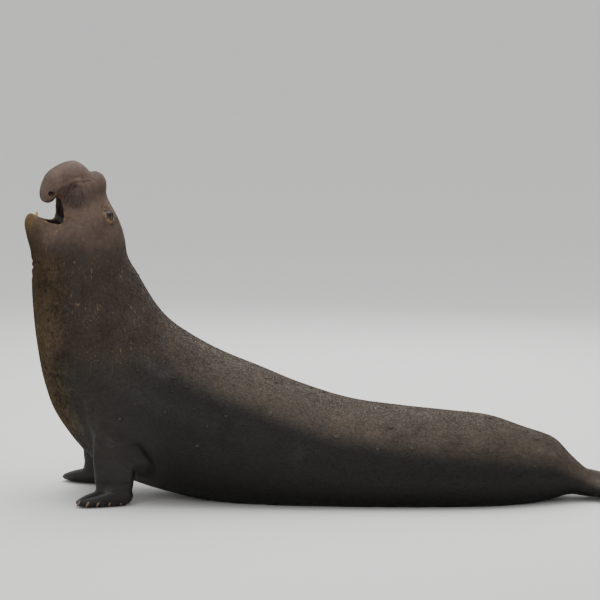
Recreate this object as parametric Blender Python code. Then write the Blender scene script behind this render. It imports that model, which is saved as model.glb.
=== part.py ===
"""Life-size bull elephant seal, reared on its fore flippers with its mouth wide open.

Metres, +Z up. The seal faces -X, its left side is towards -Y, and it rests on the floor at z = 0.
The whole animal is lofted, fused into one body and shaped, and then parted by thin cuts.
"""
import math
from collections import namedtuple

import bmesh
import bpy
import numpy as np
from mathutils import Matrix, Vector
from mathutils.bvhtree import BVHTree

# Air between neighbouring pieces, and the grain of the mesh that fuses the body.
GAP = 0.0003
GRAIN = 0.0065
HEAD_FROM_Z = 1.14
LIMBS_UP_TO_Z = 0.30
HEAD_TRIANGLES = 3600
LIMB_TRIANGLES = 2300
TRUNK_TRIANGLES = 2400

# The fore part of the body stands a little to the right of the hips, and the head is turned left.
CHEST_SWAY = 0.060
HIPS_SWAY = -0.030
SWAY_FROM_X = -1.10
SWAY_TO_X = 1.00
HEAD_TURN = math.radians(14)
TURN_FROM_Z = 0.65
TURN_TO_Z = 1.18
NECK_AXIS_X = -1.37

# Eyes
EYE_RADIUS = 0.031
EYE_X = -1.252
EYE_Z = 1.435
EYE_DEPTH = 0.015
LID_REACH = (0.0375, 0.0300)
LID_THICKNESS = 0.0085
LID_SINK = 0.001

# A ring of the body runs from a point on the back to a point on the belly, each (x, z).
Ring = namedtuple("Ring", "back belly half_width boxy")
BODY_RINGS = (
    Ring((1.255, 0.112), (1.255, 0.020), 0.085, 2.0),
    Ring((1.215, 0.130), (1.215, 0.014), 0.112, 2.0),
    Ring((1.165, 0.156), (1.150, 0.020), 0.125, 2.0),
    Ring((1.092, 0.222), (1.075, 0.022), 0.150, 2.0),
    Ring((1.003, 0.310), (0.985, 0.000), 0.200, 2.1),
    Ring((0.855, 0.362), (0.855, -0.025), 0.262, 2.2),
    Ring((0.680, 0.418), (0.680, -0.041), 0.318, 2.3),
    Ring((0.480, 0.440), (0.480, -0.046), 0.350, 2.3),
    Ring((0.230, 0.464), (0.230, -0.051), 0.372, 2.3),
    Ring((-0.020, 0.498), (-0.010, -0.051), 0.388, 2.3),
    Ring((-0.270, 0.574), (-0.245, -0.051), 0.398, 2.3),
    Ring((-0.470, 0.656), (-0.430, -0.046), 0.400, 2.3),
    Ring((-0.655, 0.732), (-0.630, -0.034), 0.398, 2.2),
    Ring((-0.795, 0.805), (-0.880, 0.015), 0.392, 2.2),
    Ring((-0.910, 0.882), (-1.110, 0.081), 0.382, 2.1),
    Ring((-0.985, 0.964), (-1.305, 0.183), 0.362, 2.1),
    Ring((-1.040, 1.052), (-1.480, 0.397), 0.330, 2.1),
    Ring((-1.083, 1.129), (-1.553, 0.582), 0.300, 2.1),
    Ring((-1.116, 1.182), (-1.594, 0.806), 0.275, 2.1),
    Ring((-1.136, 1.234), (-1.610, 1.000), 0.252, 2.1),
    Ring((-1.141, 1.280), (-1.612, 1.130), 0.232, 2.1),
    Ring((-1.149, 1.324), (-1.616, 1.235), 0.213, 2.1),
    Ring((-1.170, 1.388), (-1.588, 1.318), 0.190, 2.2),
    Ring((-1.196, 1.440), (-1.504, 1.388), 0.172, 2.6),
    Ring((-1.222, 1.486), (-1.493, 1.450), 0.154, 2.9),
    Ring((-1.240, 1.534), (-1.488, 1.508), 0.142, 2.9),
    Ring((-1.238, 1.586), (-1.470, 1.566), 0.134, 2.8),
    Ring((-1.256, 1.628), (-1.412, 1.618), 0.114, 2.4),
    Ring((-1.294, 1.646), (-1.356, 1.640), 0.048, 2.0),
)
NOSE_RINGS = (
    Ring((-1.274, 1.628), (-1.352, 1.490), 0.110, 2.2),
    Ring((-1.318, 1.648), (-1.388, 1.510), 0.118, 2.3),
    Ring((-1.354, 1.677), (-1.410, 1.530), 0.122, 2.4),
    Ring((-1.388, 1.697), (-1.434, 1.540), 0.124, 2.5),
    Ring((-1.440, 1.691), (-1.450, 1.542), 0.121, 2.5),
    Ring((-1.494, 1.666), (-1.470, 1.536), 0.114, 2.5),
    Ring((-1.535, 1.635), (-1.486, 1.526), 0.105, 2.4),
    Ring((-1.561, 1.587), (-1.496, 1.514), 0.095, 2.3),
    Ring((-1.573, 1.540), (-1.504, 1.503), 0.085, 2.2),
    Ring((-1.569, 1.505), (-1.516, 1.493), 0.065, 2.0),
    Ring((-1.552, 1.489), (-1.532, 1.487), 0.030, 2.0),
)
JAW_RINGS = (
    Ring((-1.310, 1.384), (-1.380, 1.150), 0.160, 2.2),
    Ring((-1.400, 1.402), (-1.490, 1.170), 0.150, 2.4),
    Ring((-1.480, 1.424), (-1.570, 1.200), 0.138, 2.7),
    Ring((-1.540, 1.432), (-1.614, 1.245), 0.122, 2.9),
    Ring((-1.585, 1.438), (-1.634, 1.305), 0.102, 2.8),
    Ring((-1.617, 1.443), (-1.646, 1.352), 0.078, 2.4),
    Ring((-1.641, 1.424), (-1.653, 1.388), 0.038, 2.0),
)
# The hollow of the mouth: a trough in the lower jaw, and the palate with the throat behind it.
TROUGH_RINGS = (
    Ring((-1.603, 1.520), (-1.603, 1.418), 0.030, 2.2),
    Ring((-1.582, 1.520), (-1.582, 1.382), 0.060, 3.0),
    Ring((-1.545, 1.520), (-1.545, 1.354), 0.086, 3.5),
    Ring((-1.490, 1.500), (-1.490, 1.340), 0.102, 3.5),
    Ring((-1.440, 1.460), (-1.435, 1.334), 0.098, 3.0),
    Ring((-1.385, 1.420), (-1.385, 1.330), 0.068, 2.4),
    Ring((-1.345, 1.390), (-1.345, 1.340), 0.030, 2.0),
)
PALATE_RINGS = (
    Ring((-1.570, 1.526), (-1.452, 1.520), 0.074, 2.4),
    Ring((-1.572, 1.495), (-1.436, 1.495), 0.092, 2.8),
    Ring((-1.574, 1.460), (-1.430, 1.460), 0.102, 2.8),
    Ring((-1.572, 1.415), (-1.420, 1.420), 0.106, 2.6),
    Ring((-1.520, 1.372), (-1.400, 1.380), 0.082, 2.2),
)
# Each nostril opens under the tip of the nose: the pit's floor, its mouth and its radius.
NOSTRIL = ((-1.530, -0.046, 1.568), (-1.525, -0.108, 1.530), 0.017)
# How much wider a body ring is at the belly than at the back, as a share of its half width.
BELLY_SPREAD = 0.10

# A limb's ring has a centre, the way its broad side runs, and its two half sizes.
Slice = namedtuple("Slice", "centre broadways half_breadth half_thickness")
# Left fore flipper: the arm, and the palm from its heel to the tip of the paddle. The right one is
# its mirror, set further ahead, and its hand turns further out from the wrist and reaches further.
FORE_STEP = 0.084
HAND_SPLAY = math.radians(13)
HAND_STRETCH = 0.20
WRIST = (-1.194, -0.286, 0.120)
WRIST_FLEX = 0.060
ARM_SLICES = (
    Slice((-1.150, -0.170, 0.430), (1, 0, 0.15), 0.135, 0.110),
    Slice((-1.175, -0.250, 0.340), (1, 0, 0.10), 0.128, 0.090),
    Slice((-1.190, -0.282, 0.250), (1, 0, 0.00), 0.116, 0.068),
    Slice((-1.192, -0.286, 0.170), (1, 0, 0.00), 0.106, 0.055),
    Slice((-1.194, -0.284, 0.110), (1, 0, 0.00), 0.099, 0.048),
    Slice((-1.195, -0.284, 0.060), (1, 0, 0.00), 0.090, 0.044),
    Slice((-1.195, -0.284, 0.030), (1, 0, 0.00), 0.080, 0.036),
)
PALM_SLICES = (
    Slice((-1.110, -0.272, 0.034), (0.25, -1, 0), 0.022, 0.026),
    Slice((-1.132, -0.282, 0.042), (0.25, -1, 0), 0.040, 0.042),
    Slice((-1.190, -0.294, 0.046), (0.25, -1, 0), 0.056, 0.047),
    Slice((-1.250, -0.304, 0.042), (0.25, -1, 0), 0.062, 0.043),
    Slice((-1.305, -0.318, 0.034), (0.25, -1, 0), 0.060, 0.035),
    Slice((-1.345, -0.332, 0.027), (0.25, -1, 0), 0.048, 0.026),
    Slice((-1.380, -0.344, 0.020), (0.25, -1, 0), 0.026, 0.016),
)
# Each fore digit runs from a knuckle to a tip on the floor, first digit first.
Digit = namedtuple("Digit", "knuckle tip radius")
FORE_DIGITS = (
    Digit((-1.270, -0.290, 0.056), (-1.366, -0.368, 0.022), 0.027),
    Digit((-1.250, -0.300, 0.053), (-1.322, -0.376, 0.018), 0.023),
    Digit((-1.212, -0.300, 0.052), (-1.270, -0.366, 0.018), 0.022),
    Digit((-1.170, -0.296, 0.050), (-1.212, -0.346, 0.018), 0.021),
    Digit((-1.132, -0.282, 0.046), (-1.156, -0.318, 0.018), 0.020),
)
CLAW_LENGTH = 0.026
CLAW_RADIUS = 0.0065
CLAW_RISE = 0.013
CLAW_TIP_Z = 0.009

# Left hind flipper: an ankle, a thin web, and five digits of which the outer two are longest.
ANKLE_SLICES = (
    Slice((1.120, -0.045, 0.085), (0, -1, 0.10), 0.075, 0.060),
    Slice((1.210, -0.066, 0.064), (0, -1, 0.12), 0.066, 0.048),
    Slice((1.290, -0.092, 0.050), (0.1, -1, 0.14), 0.064, 0.036),
    Slice((1.370, -0.116, 0.040), (0.2, -1, 0.16), 0.078, 0.027),
    Slice((1.420, -0.130, 0.036), (0.2, -1, 0.16), 0.084, 0.020),
)
WEB_SLICES = (
    Slice((1.330, -0.102, 0.044), (0.1, -1, 0.14), 0.056, 0.016),
    Slice((1.400, -0.124, 0.036), (0.2, -1, 0.15), 0.082, 0.013),
    Slice((1.470, -0.146, 0.028), (0.25, -1, 0.13), 0.112, 0.010),
    Slice((1.535, -0.166, 0.022), (0.3, -1, 0.10), 0.130, 0.009),
    Slice((1.570, -0.174, 0.018), (0.3, -1, 0.08), 0.118, 0.006),
)
HIND_DIGITS = (
    Digit((1.320, -0.048, 0.050), (1.650, -0.050, 0.016), 0.026),
    Digit((1.335, -0.074, 0.046), (1.605, -0.096, 0.014), 0.020),
    Digit((1.340, -0.104, 0.044), (1.588, -0.158, 0.013), 0.018),
    Digit((1.340, -0.134, 0.044), (1.600, -0.226, 0.014), 0.020),
    Digit((1.330, -0.160, 0.044), (1.628, -0.302, 0.016), 0.025),
)
TAIL_SLICES = (
    Slice((1.180, 0.0, 0.118), (0, 1, 0), 0.056, 0.034),
    Slice((1.260, 0.0, 0.108), (0, 1, 0), 0.046, 0.026),
    Slice((1.330, 0.0, 0.099), (0, 1, 0), 0.038, 0.019),
    Slice((1.385, 0.0, 0.093), (0, 1, 0), 0.028, 0.013),
    Slice((1.410, 0.0, 0.090), (0, 1, 0), 0.012, 0.006),
)
TONGUE_RINGS = (
    Ring((-1.385, 1.366), (-1.385, 1.310), 0.040, 2.0),
    Ring((-1.430, 1.376), (-1.430, 1.314), 0.050, 2.2),
    Ring((-1.490, 1.380), (-1.490, 1.320), 0.053, 2.3),
    Ring((-1.530, 1.388), (-1.530, 1.335), 0.043, 2.2),
    Ring((-1.554, 1.392), (-1.554, 1.360), 0.024, 2.0),
)
# Teeth: root point, tip point, root radius, and whether the other side has the same one.
Tooth = namedtuple("Tooth", "root tip radius both_sides")
LOWER_TEETH = (
    Tooth((-1.581, 0.046, 1.385), (-1.579, 0.047, 1.444), 0.0100, False),
    Tooth((-1.580, -0.046, 1.375), (-1.578, -0.047, 1.412), 0.0095, False),
    Tooth((-1.592, -0.016, 1.385), (-1.592, -0.016, 1.420), 0.0060, True),
    Tooth((-1.554, -0.076, 1.365), (-1.553, -0.076, 1.396), 0.0070, True),
    Tooth((-1.528, -0.088, 1.355), (-1.527, -0.088, 1.388), 0.0070, True),
)
UPPER_TEETH = (
    Tooth((-1.422, -0.058, 1.510), (-1.450, -0.060, 1.503), 0.0090, True),
    Tooth((-1.428, -0.020, 1.512), (-1.447, -0.020, 1.507), 0.0055, True),
    Tooth((-1.412, -0.084, 1.476), (-1.441, -0.084, 1.472), 0.0060, True),
    Tooth((-1.410, -0.088, 1.448), (-1.439, -0.088, 1.444), 0.0060, True),
)

# Thin cuts part the body: a block from a corner, its signed size, tilted in degrees about the Y axis,
# and turned with the head if it cuts there. Whatever the block holds becomes the node.
Block = namedtuple("Block", "corner size tilt with_head")
LIMB_CUTS = (
    ("tail", Block((1.235, -0.090, 0.083), (0.30, 0.120, 0.10), 0, False)),
    ("hind_flipper_left", Block((1.275, -0.031, -0.01), (0.50, -0.50, 0.20), 0, False)),
    ("hind_flipper_right", Block((1.275, -0.029, -0.01), (0.50, 0.50, 0.20), 0, False)),
    ("fore_flipper_left", Block((-1.000, -0.130, 0.285), (-0.45, -0.50, -0.30), 0, False)),
    ("fore_flipper_right", Block((-1.000, 0.250, 0.285), (-0.60, 0.50, -0.30), 0, False)),
)
TRUNK_CUTS = (
    ("rump", Block((0.930, -0.60, -0.01), (0.60, 1.20, 0.60), 0, False)),
    ("hindquarters", Block((0.230, -0.60, -0.01), (0.90, 1.20, 0.80), 0, False)),
    ("belly", Block((-0.560, -0.60, -0.01), (1.20, 1.20, 1.00), 0, False)),
    ("chest", Block((-1.760, -0.60, 0.690), (1.80, 1.20, -1.90), -27, False)),
    ("neck", Block((-1.800, -0.60, 1.190), (1.20, 1.20, -1.40), -12, False)),
)
HEAD_CUTS = (
    ("tongue", Block((-1.566, -0.0550, 1.364), (0.190, 0.110, 0.06), 9, True)),
    ("proboscis", Block((-1.553, -0.25, 1.440), (0.335, 0.50, 0.40), -41.3, True)),
    ("lower_jaw", Block((-1.440, -0.25, 1.402), (-0.30, 0.50, -0.40), 16.7, True)),
)

Look = namedtuple("Look", "colour roughness")
LOOKS = {
    "hide": Look((0.105, 0.082, 0.066), 0.55),
    "wet_hide": Look((0.045, 0.040, 0.037), 0.35),
    "nose_hide": Look((0.130, 0.098, 0.084), 0.50),
    "eye": Look((0.012, 0.010, 0.010), 0.05),
    "tongue": Look((0.330, 0.120, 0.110), 0.40),
}
LOOK_OF = {
    "belly": "wet_hide",
    "hindquarters": "wet_hide",
    "rump": "wet_hide",
    "proboscis": "nose_hide",
    "eye_left": "eye",
    "eye_right": "eye",
    "tongue": "tongue",
}

# Creases and swells pressed into the fused body: a path, how wide and how deep (out is positive).
Stroke = namedtuple("Stroke", "path radius depth both_sides")
STROKES = (
    # The deep notch across the nose, between the forehead and the inflated part.
    Stroke(((-1.312, -0.06, 1.655), (-1.304, 0.0, 1.658), (-1.312, 0.06, 1.655)), 0.032, -0.010, False),
    Stroke(((-1.304, -0.08, 1.645), (-1.338, -0.115, 1.610)), 0.034, -0.005, True),
    # The fold between the hanging nose and the whisker pad.
    Stroke(((-1.470, -0.11, 1.548), (-1.448, -0.125, 1.568), (-1.420, -0.130, 1.588)), 0.024, -0.014, True),
    # The whisker pad.
    Stroke(((-1.435, -0.135, 1.545), (-1.415, -0.145, 1.505)), 0.065, 0.009, True),
    # The brow above the eye, towards the nose.
    Stroke(((-1.252, -0.12, 1.478), (-1.232, -0.13, 1.440)), 0.042, 0.006, True),
    # The throat crease under the jaw.
    Stroke(((-1.620, 0.00, 1.168), (-1.590, -0.13, 1.165), (-1.530, -0.19, 1.185)), 0.055, -0.004, True),
    # Skin folds where the fore flippers leave the chest.
    Stroke(((-1.225, -0.345, 0.385), (-1.120, -0.355, 0.330), (-1.060, -0.34, 0.240)), 0.050, -0.009, True),
    Stroke(((-1.070, -0.34, 0.300), (-1.030, -0.335, 0.210), (-1.045, -0.30, 0.140)), 0.060, -0.012, True),
)
# Where two forms meet and the flesh runs over softly: centre, reach and rounds of easing.
Blend = namedtuple("Blend", "centre reach rounds both_sides")
BLENDS = (
    Blend((-1.560, 0.0, 1.270), 0.240, 60, False),
    Blend((-1.360, -0.14, 1.360), 0.160, 40, True),
    Blend((-1.150, -0.300, 0.330), 0.220, 50, True),
    Blend((-1.250, -0.340, 0.060), 0.090, 6, True),
    Blend((1.230, 0.0, 0.080), 0.140, 14, False),
    Blend((-1.370, -0.12, 1.600), 0.120, 50, True),
    Blend((-1.310, 0.0, 1.640), 0.060, 6, False),
)


def clear_scene():
    for obj in list(bpy.data.objects):
        bpy.data.objects.remove(obj)


def through(rows, steps):
    """Rows of numbers joined by a smooth curve that passes through each, with steps between two rows."""
    rows = np.array(rows, float)
    padded = np.vstack([2 * rows[0] - rows[1], rows, 2 * rows[-1] - rows[-2]])
    found = []
    for i in range(len(rows) - 1):
        a, b, c, d = padded[i : i + 4]
        for t in np.arange(steps) / steps:
            bend = 2 * a - 5 * b + 4 * c - d
            found.append(b + 0.5 * t * ((c - a) + t * (bend + t * (3 * (b - c) + d - a))))
    return np.array(found + [rows[-1]])


def rounded(values, boxy):
    """Cosines or sines pushed outwards, so that a round section turns boxy above 2."""
    return np.sign(values) * np.abs(values) ** (2 / boxy)


def tube_mesh(name, loops):
    """A closed mesh through loops of points, with a fan at each end."""
    mesh = bmesh.new()
    rings = [[mesh.verts.new(point) for point in loop] for loop in loops]
    for one, two in zip(rings, rings[1:]):
        for i in range(len(one)):
            j = (i + 1) % len(one)
            mesh.faces.new((one[i], one[j], two[j], two[i]))
    for ring in (rings[0], rings[-1]):
        middle = mesh.verts.new(sum((v.co for v in ring), Vector()) / len(ring))
        for i in range(len(ring)):
            mesh.faces.new((ring[i], ring[(i + 1) % len(ring)], middle))
    bmesh.ops.recalc_face_normals(mesh, faces=mesh.faces)
    data = bpy.data.meshes.new(name)
    mesh.to_mesh(data)
    mesh.free()
    obj = bpy.data.objects.new(name, data)
    bpy.context.scene.collection.objects.link(obj)
    return obj


def body_tube(name, rings, around=40, steps=4, spread=0.0):
    """A tube along the middle plane, from its rings' back and belly points."""
    angle = np.linspace(0, 2 * math.pi, around, endpoint=False)
    loops = []
    for row in through([(*r.back, *r.belly, r.half_width, r.boxy) for r in rings], steps):
        back, belly, half_width, boxy = row[0:2], row[2:4], row[4], row[5]
        along, across = rounded(np.cos(angle), boxy), rounded(np.sin(angle), boxy)
        middle, reach = (back + belly) / 2, (back - belly) / 2
        y = half_width * across * (1 - spread * along)
        x, z = (middle[i] + reach[i] * along for i in (0, 1))
        loops.append(np.stack([x, y, z], axis=1))
    return tube_mesh(name, loops)


def limb_tube(name, slices, around=24, steps=4):
    """A flattened tube along any path, from its slices."""
    rows = through([(*s.centre, *s.broadways, s.half_breadth, s.half_thickness) for s in slices], steps)
    centres = rows[:, 0:3]
    heading = np.gradient(centres, axis=0)
    angle = np.linspace(0, 2 * math.pi, around, endpoint=False)
    loops = []
    for centre, way, row in zip(centres, heading, rows):
        way = way / np.linalg.norm(way)
        broad = row[3:6] - way * (row[3:6] @ way)
        broad = broad / np.linalg.norm(broad)
        thin = np.cross(way, broad)
        rim = np.outer(np.cos(angle), broad * row[6]) + np.outer(np.sin(angle), thin * row[7])
        loops.append(centre + rim)
    return tube_mesh(name, loops)


def spike(name, root, tip, radius, blunt=0.25, bend=(0, 0, 0), sides=10):
    """A round, tapering form from root to tip, such as a digit, a tooth or a claw."""
    root, tip, bend = Vector(root), Vector(tip), Vector(bend)
    way = (tip - root).normalized()
    side = way.orthogonal().normalized()
    other = way.cross(side)
    loops = []
    for t, share in ((0, 1), (0.3, 0.97), (0.6, 0.82), (0.85, 0.55 + blunt * 0.3), (0.96, blunt), (1, blunt / 3)):
        middle = root.lerp(tip, t) + bend * math.sin(math.pi * t)
        turn = [2 * math.pi * i / sides for i in range(sides)]
        loops.append([middle + (side * math.cos(a) + other * math.sin(a)) * radius * share for a in turn])
    return tube_mesh(name, loops)


def flipped(obj, shift_x=0.0):
    """Takes the form over to the right side and moves it by shift_x."""
    obj.data.transform(Matrix.Translation((shift_x, 0, 0)) @ Matrix.Diagonal((1, -1, 1, 1)))
    obj.data.flip_normals()
    return obj


def mirrored(obj):
    """A second one of the form, on the right side."""
    twin = obj.copy()
    twin.data = obj.data.copy()
    bpy.context.scene.collection.objects.link(twin)
    return flipped(twin)


def baked(obj):
    """Replaces the object's mesh by what its modifiers make of it."""
    graph = bpy.context.evaluated_depsgraph_get()
    made = bpy.data.meshes.new_from_object(obj.evaluated_get(graph))
    obj.modifiers.clear()
    obj.data = made
    return obj


def boolean(obj, other, operation, solver="EXACT"):
    step = obj.modifiers.new("Cut", "BOOLEAN")
    step.object, step.operation, step.solver = other, operation, solver
    return baked(obj)


def joined(name, pieces):
    """The pieces' meshes in one object, with the pieces removed."""
    mesh = bmesh.new()
    for piece in pieces:
        mesh.from_mesh(piece.data)
        bpy.data.objects.remove(piece)
    data = bpy.data.meshes.new(name)
    mesh.to_mesh(data)
    mesh.free()
    obj = bpy.data.objects.new(name, data)
    bpy.context.scene.collection.objects.link(obj)
    return obj


def fused(name, pieces, grain):
    """The pieces as one closed skin."""
    obj = joined(name, pieces)
    step = obj.modifiers.new("Fuse", "REMESH")
    step.mode, step.voxel_size, step.adaptivity = "VOXEL", grain, 0.0
    return baked(obj)


def points_of(obj):
    points = np.empty(len(obj.data.vertices) * 3, np.float32)
    obj.data.vertices.foreach_get("co", points)
    return points.reshape(-1, 3).astype(float)


def set_points(obj, points):
    obj.data.vertices.foreach_set("co", points.astype(np.float32).ravel())
    obj.data.update()


def normals_of(obj):
    normals = np.empty(len(obj.data.vertices) * 3, np.float32)
    obj.data.vertex_normals.foreach_get("vector", normals)
    return normals.reshape(-1, 3).astype(float)


def relax(obj, share, rounds):
    """Evens out the surface: each point moves towards the mean of its neighbours by its share."""
    points = points_of(obj)
    edges = np.empty(len(obj.data.edges) * 2, np.int32)
    obj.data.edges.foreach_get("vertices", edges)
    one, two = edges[0::2], edges[1::2]
    size = len(points)
    count = np.bincount(one, minlength=size) + np.bincount(two, minlength=size)
    for _ in range(rounds):
        for axis in range(3):
            column = points[:, axis]
            total = np.bincount(one, column[two], size) + np.bincount(two, column[one], size)
            points[:, axis] = column + share * (total / count - column)
    set_points(obj, points)


def blend(obj, blends):
    """Evens out the surface round each blend's centre, less towards its reach."""
    for spot in blends:
        points = points_of(obj)
        weight = np.zeros(len(points))
        for side in (1, -1) if spot.both_sides else (1,):
            centre = np.array(spot.centre) * (1, side, 1)
            weight = np.maximum(weight, ease(1.6 * (1 - np.linalg.norm(points - centre, axis=1) / spot.reach)))
        relax(obj, 0.6 * weight, spot.rounds)


def ease(values):
    values = np.clip(values, 0, 1)
    return values * values * (3 - 2 * values)


def near_path(points, path):
    """Distance of each point from a path of straight stretches."""
    path = np.array(path, float)
    nearest = np.full(len(points), np.inf)
    for a, b in zip(path, path[1:]):
        way = b - a
        t = np.clip((points - a) @ way / (way @ way), 0, 1)
        nearest = np.minimum(nearest, np.linalg.norm(points - a - t[:, None] * way, axis=1))
    return nearest


def press(obj, strokes):
    for stroke in strokes:
        sides = (1, -1) if stroke.both_sides else (1,)
        points, normals = points_of(obj), normals_of(obj)
        for side in sides:
            path = [(x, y * side, z) for x, y, z in stroke.path]
            weight = ease(1 - near_path(points, path) / stroke.radius)
            points = points + normals * (stroke.depth * weight)[:, None]
        set_points(obj, points)


def posed(points):
    """The head turned to the left, and the fore part swayed to the right of the hips."""
    turn = HEAD_TURN * ease((points[:, 2] - TURN_FROM_Z) / (TURN_TO_Z - TURN_FROM_Z))
    fore = ease((-0.6 - points[:, 0]) / 0.5)
    turn = turn * fore
    x, y = points[:, 0] - NECK_AXIS_X, points[:, 1]
    turned_x = NECK_AXIS_X + x * np.cos(turn) - y * np.sin(turn)
    turned_y = x * np.sin(turn) + y * np.cos(turn)
    share = ease((turned_x - SWAY_FROM_X) / (SWAY_TO_X - SWAY_FROM_X))
    swayed_y = turned_y + CHEST_SWAY + (HIPS_SWAY - CHEST_SWAY) * share
    return np.stack([turned_x, swayed_y, points[:, 2]], axis=1)


def pose(obj):
    set_points(obj, posed(points_of(obj)))


def posed_point(point):
    return Vector(posed(np.array([point], float))[0])


def flat_on_floor(obj):
    """What would sink below the floor is flattened on it."""
    points = points_of(obj)
    points[:, 2] = np.where(points[:, 2] < 0.0008, 0.0, points[:, 2])
    set_points(obj, points)


def eye_place(obj):
    """The point of the head's surface where the left eye sits, and the way it faces."""
    tree = BVHTree.FromObject(obj, bpy.context.evaluated_depsgraph_get())
    hit, normal, _, _ = tree.ray_cast(Vector((EYE_X, -0.5, EYE_Z)), Vector((0, 1, 0)))
    return hit, (normal + Vector((-0.20, 0, 0.10))).normalized()


def lid_ring(centre, facing):
    """A soft rim round the eye, drawn out into two corners, the front one low."""
    forward = Vector((0.62, 0, -0.78))
    long_way = (forward - facing * forward.dot(facing)).normalized()
    short_way = facing.cross(long_way)
    around, sides = 28, 8
    loops = []
    for i in range(around + 1):
        a = 2 * math.pi * i / around
        out = long_way * math.cos(a) * LID_REACH[0] + short_way * math.sin(a) * LID_REACH[1]
        middle = centre + out - facing * LID_SINK
        turn = [2 * math.pi * j / sides for j in range(sides)]
        outward = out.normalized()
        loops.append([middle + (outward * math.cos(b) + facing * math.sin(b)) * LID_THICKNESS for b in turn])
    return tube_mesh("lids", loops)


def splayed(points, turn):
    """Turns a left hand outwards about its wrist and stretches it, easing off up the forearm."""
    points = np.array(points, dtype=float)
    share = ease((WRIST[2] + WRIST_FLEX - points[:, 2]) / (2 * WRIST_FLEX))
    ahead, aside = points[:, 0] - WRIST[0], points[:, 1] - WRIST[1]
    if turn:
        below = ease((WRIST[2] - points[:, 2]) / WRIST_FLEX)
        ahead = np.where(ahead < 0, ahead * (1 + HAND_STRETCH * below), ahead)
    points[:, 0] = WRIST[0] + ahead * np.cos(turn * share) - aside * np.sin(turn * share)
    points[:, 1] = WRIST[1] + ahead * np.sin(turn * share) + aside * np.cos(turn * share)
    return points


def fore_flipper(splay):
    """Arm, palm and digits of the left fore flipper, as loose pieces."""
    pieces = [limb_tube("arm", ARM_SLICES), limb_tube("palm", PALM_SLICES)]
    for digit in FORE_DIGITS:
        pieces.append(spike("digit", digit.knuckle, digit.tip, digit.radius, blunt=0.75))
    for piece in pieces:
        set_points(piece, splayed(points_of(piece), splay))
    return pieces


def hind_flipper():
    pieces = [limb_tube("ankle", ANKLE_SLICES), limb_tube("web", WEB_SLICES)]
    for digit in HIND_DIGITS:
        pieces.append(spike("digit", digit.knuckle, digit.tip, digit.radius, blunt=0.45))
    return pieces


def whole_body():
    """The seal as one fused, shaped skin, and where its left eye sits."""
    hollow = body_tube("trough", TROUGH_RINGS)
    with_added(hollow, [body_tube("palate", PALATE_RINGS)])
    trunk = body_tube("trunk", BODY_RINGS, around=48, spread=BELLY_SPREAD)
    eye, facing = eye_place(trunk)
    with_added(trunk, [body_tube("jaw", JAW_RINGS)])
    with_hollowed(trunk, [hollow])
    nose = body_tube("nose", NOSE_RINGS)
    tail = limb_tube("tail", TAIL_SLICES)
    lids = lid_ring(eye, facing)
    tongue = body_tube("tongue", TONGUE_RINGS, around=24)
    left = fore_flipper(0.0)
    right = [flipped(piece, -FORE_STEP) for piece in fore_flipper(HAND_SPLAY)]
    hind = hind_flipper()
    hind += [mirrored(piece) for piece in hind]
    pieces = [trunk, nose, tongue, tail, lids, mirrored(lids), *left, *right, *hind]
    body = fused("seal", pieces, GRAIN)
    relax(body, 0.5, 4)
    blend(body, BLENDS)
    press(body, STROKES)
    relax(body, 0.5, 2)
    return body, eye, facing


def thinned(obj, weights, triangles):
    """Thins the mesh to that many triangles, collapsing only where the weights are above zero."""
    obj.vertex_groups.clear()
    group = obj.vertex_groups.new(name="thin")
    for share in np.unique(weights):
        if share > 0:
            group.add([int(i) for i in np.flatnonzero(weights == share)], float(share), "REPLACE")
    step = obj.modifiers.new("Thin", "DECIMATE")
    step.vertex_group = group.name
    obj.data.calc_loop_triangles()
    step.ratio = triangles / len(obj.data.loop_triangles)
    baked(obj)
    obj.vertex_groups.clear()


def thinned_by_region(obj):
    """Thins the trunk, then the limbs, then the head, each to its own count."""
    made = 0
    for region, count in (("trunk", TRUNK_TRIANGLES), ("limb", LIMB_TRIANGLES), ("head", HEAD_TRIANGLES)):
        points = points_of(obj)
        head = points[:, 2] > HEAD_FROM_Z
        limb = (points[:, 2] < LIMBS_UP_TO_Z) & ((points[:, 0] < -1.0) | (points[:, 0] > 1.15))
        inside = {"trunk": ~head & ~limb, "limb": limb, "head": head}[region]
        corners = np.empty(len(obj.data.polygons), np.int32)
        obj.data.polygons.foreach_get("loop_total", corners)
        starts = np.empty(len(corners), np.int32)
        obj.data.polygons.foreach_get("loop_start", starts)
        loops = np.empty(len(obj.data.loops), np.int32)
        obj.data.loops.foreach_get("vertex_index", loops)
        outside = (corners - 2)[~inside[loops[starts]]].sum()
        thinned(obj, inside.astype(float), outside + count)


def box(place, grow=0.0):
    """A block from its corner, running the way its size's signs say, tilted about that corner."""
    mesh = bmesh.new()
    bmesh.ops.create_cube(mesh, size=1)
    for axis in range(3):
        low, high = sorted((0.0, place.size[axis]))
        for vert in mesh.verts:
            vert.co[axis] = high + grow if vert.co[axis] > 0 else low - grow
    tilt = Matrix.Rotation(math.radians(place.tilt), 4, "Y")
    if place.with_head:
        to_head = Matrix.Translation((NECK_AXIS_X, CHEST_SWAY, 0)) @ Matrix.Rotation(HEAD_TURN, 4, "Z")
        to_head = to_head @ Matrix.Translation((-NECK_AXIS_X, 0, 0))
    else:
        to_head = Matrix.Identity(4)
    mesh.transform(to_head @ Matrix.Translation(place.corner) @ tilt)
    data = bpy.data.meshes.new("block")
    mesh.to_mesh(data)
    mesh.free()
    obj = bpy.data.objects.new("block", data)
    bpy.context.scene.collection.objects.link(obj)
    return obj


def copied(obj, name):
    twin = obj.copy()
    twin.data = obj.data.copy()
    twin.name = name
    bpy.context.scene.collection.objects.link(twin)
    return twin


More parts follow.
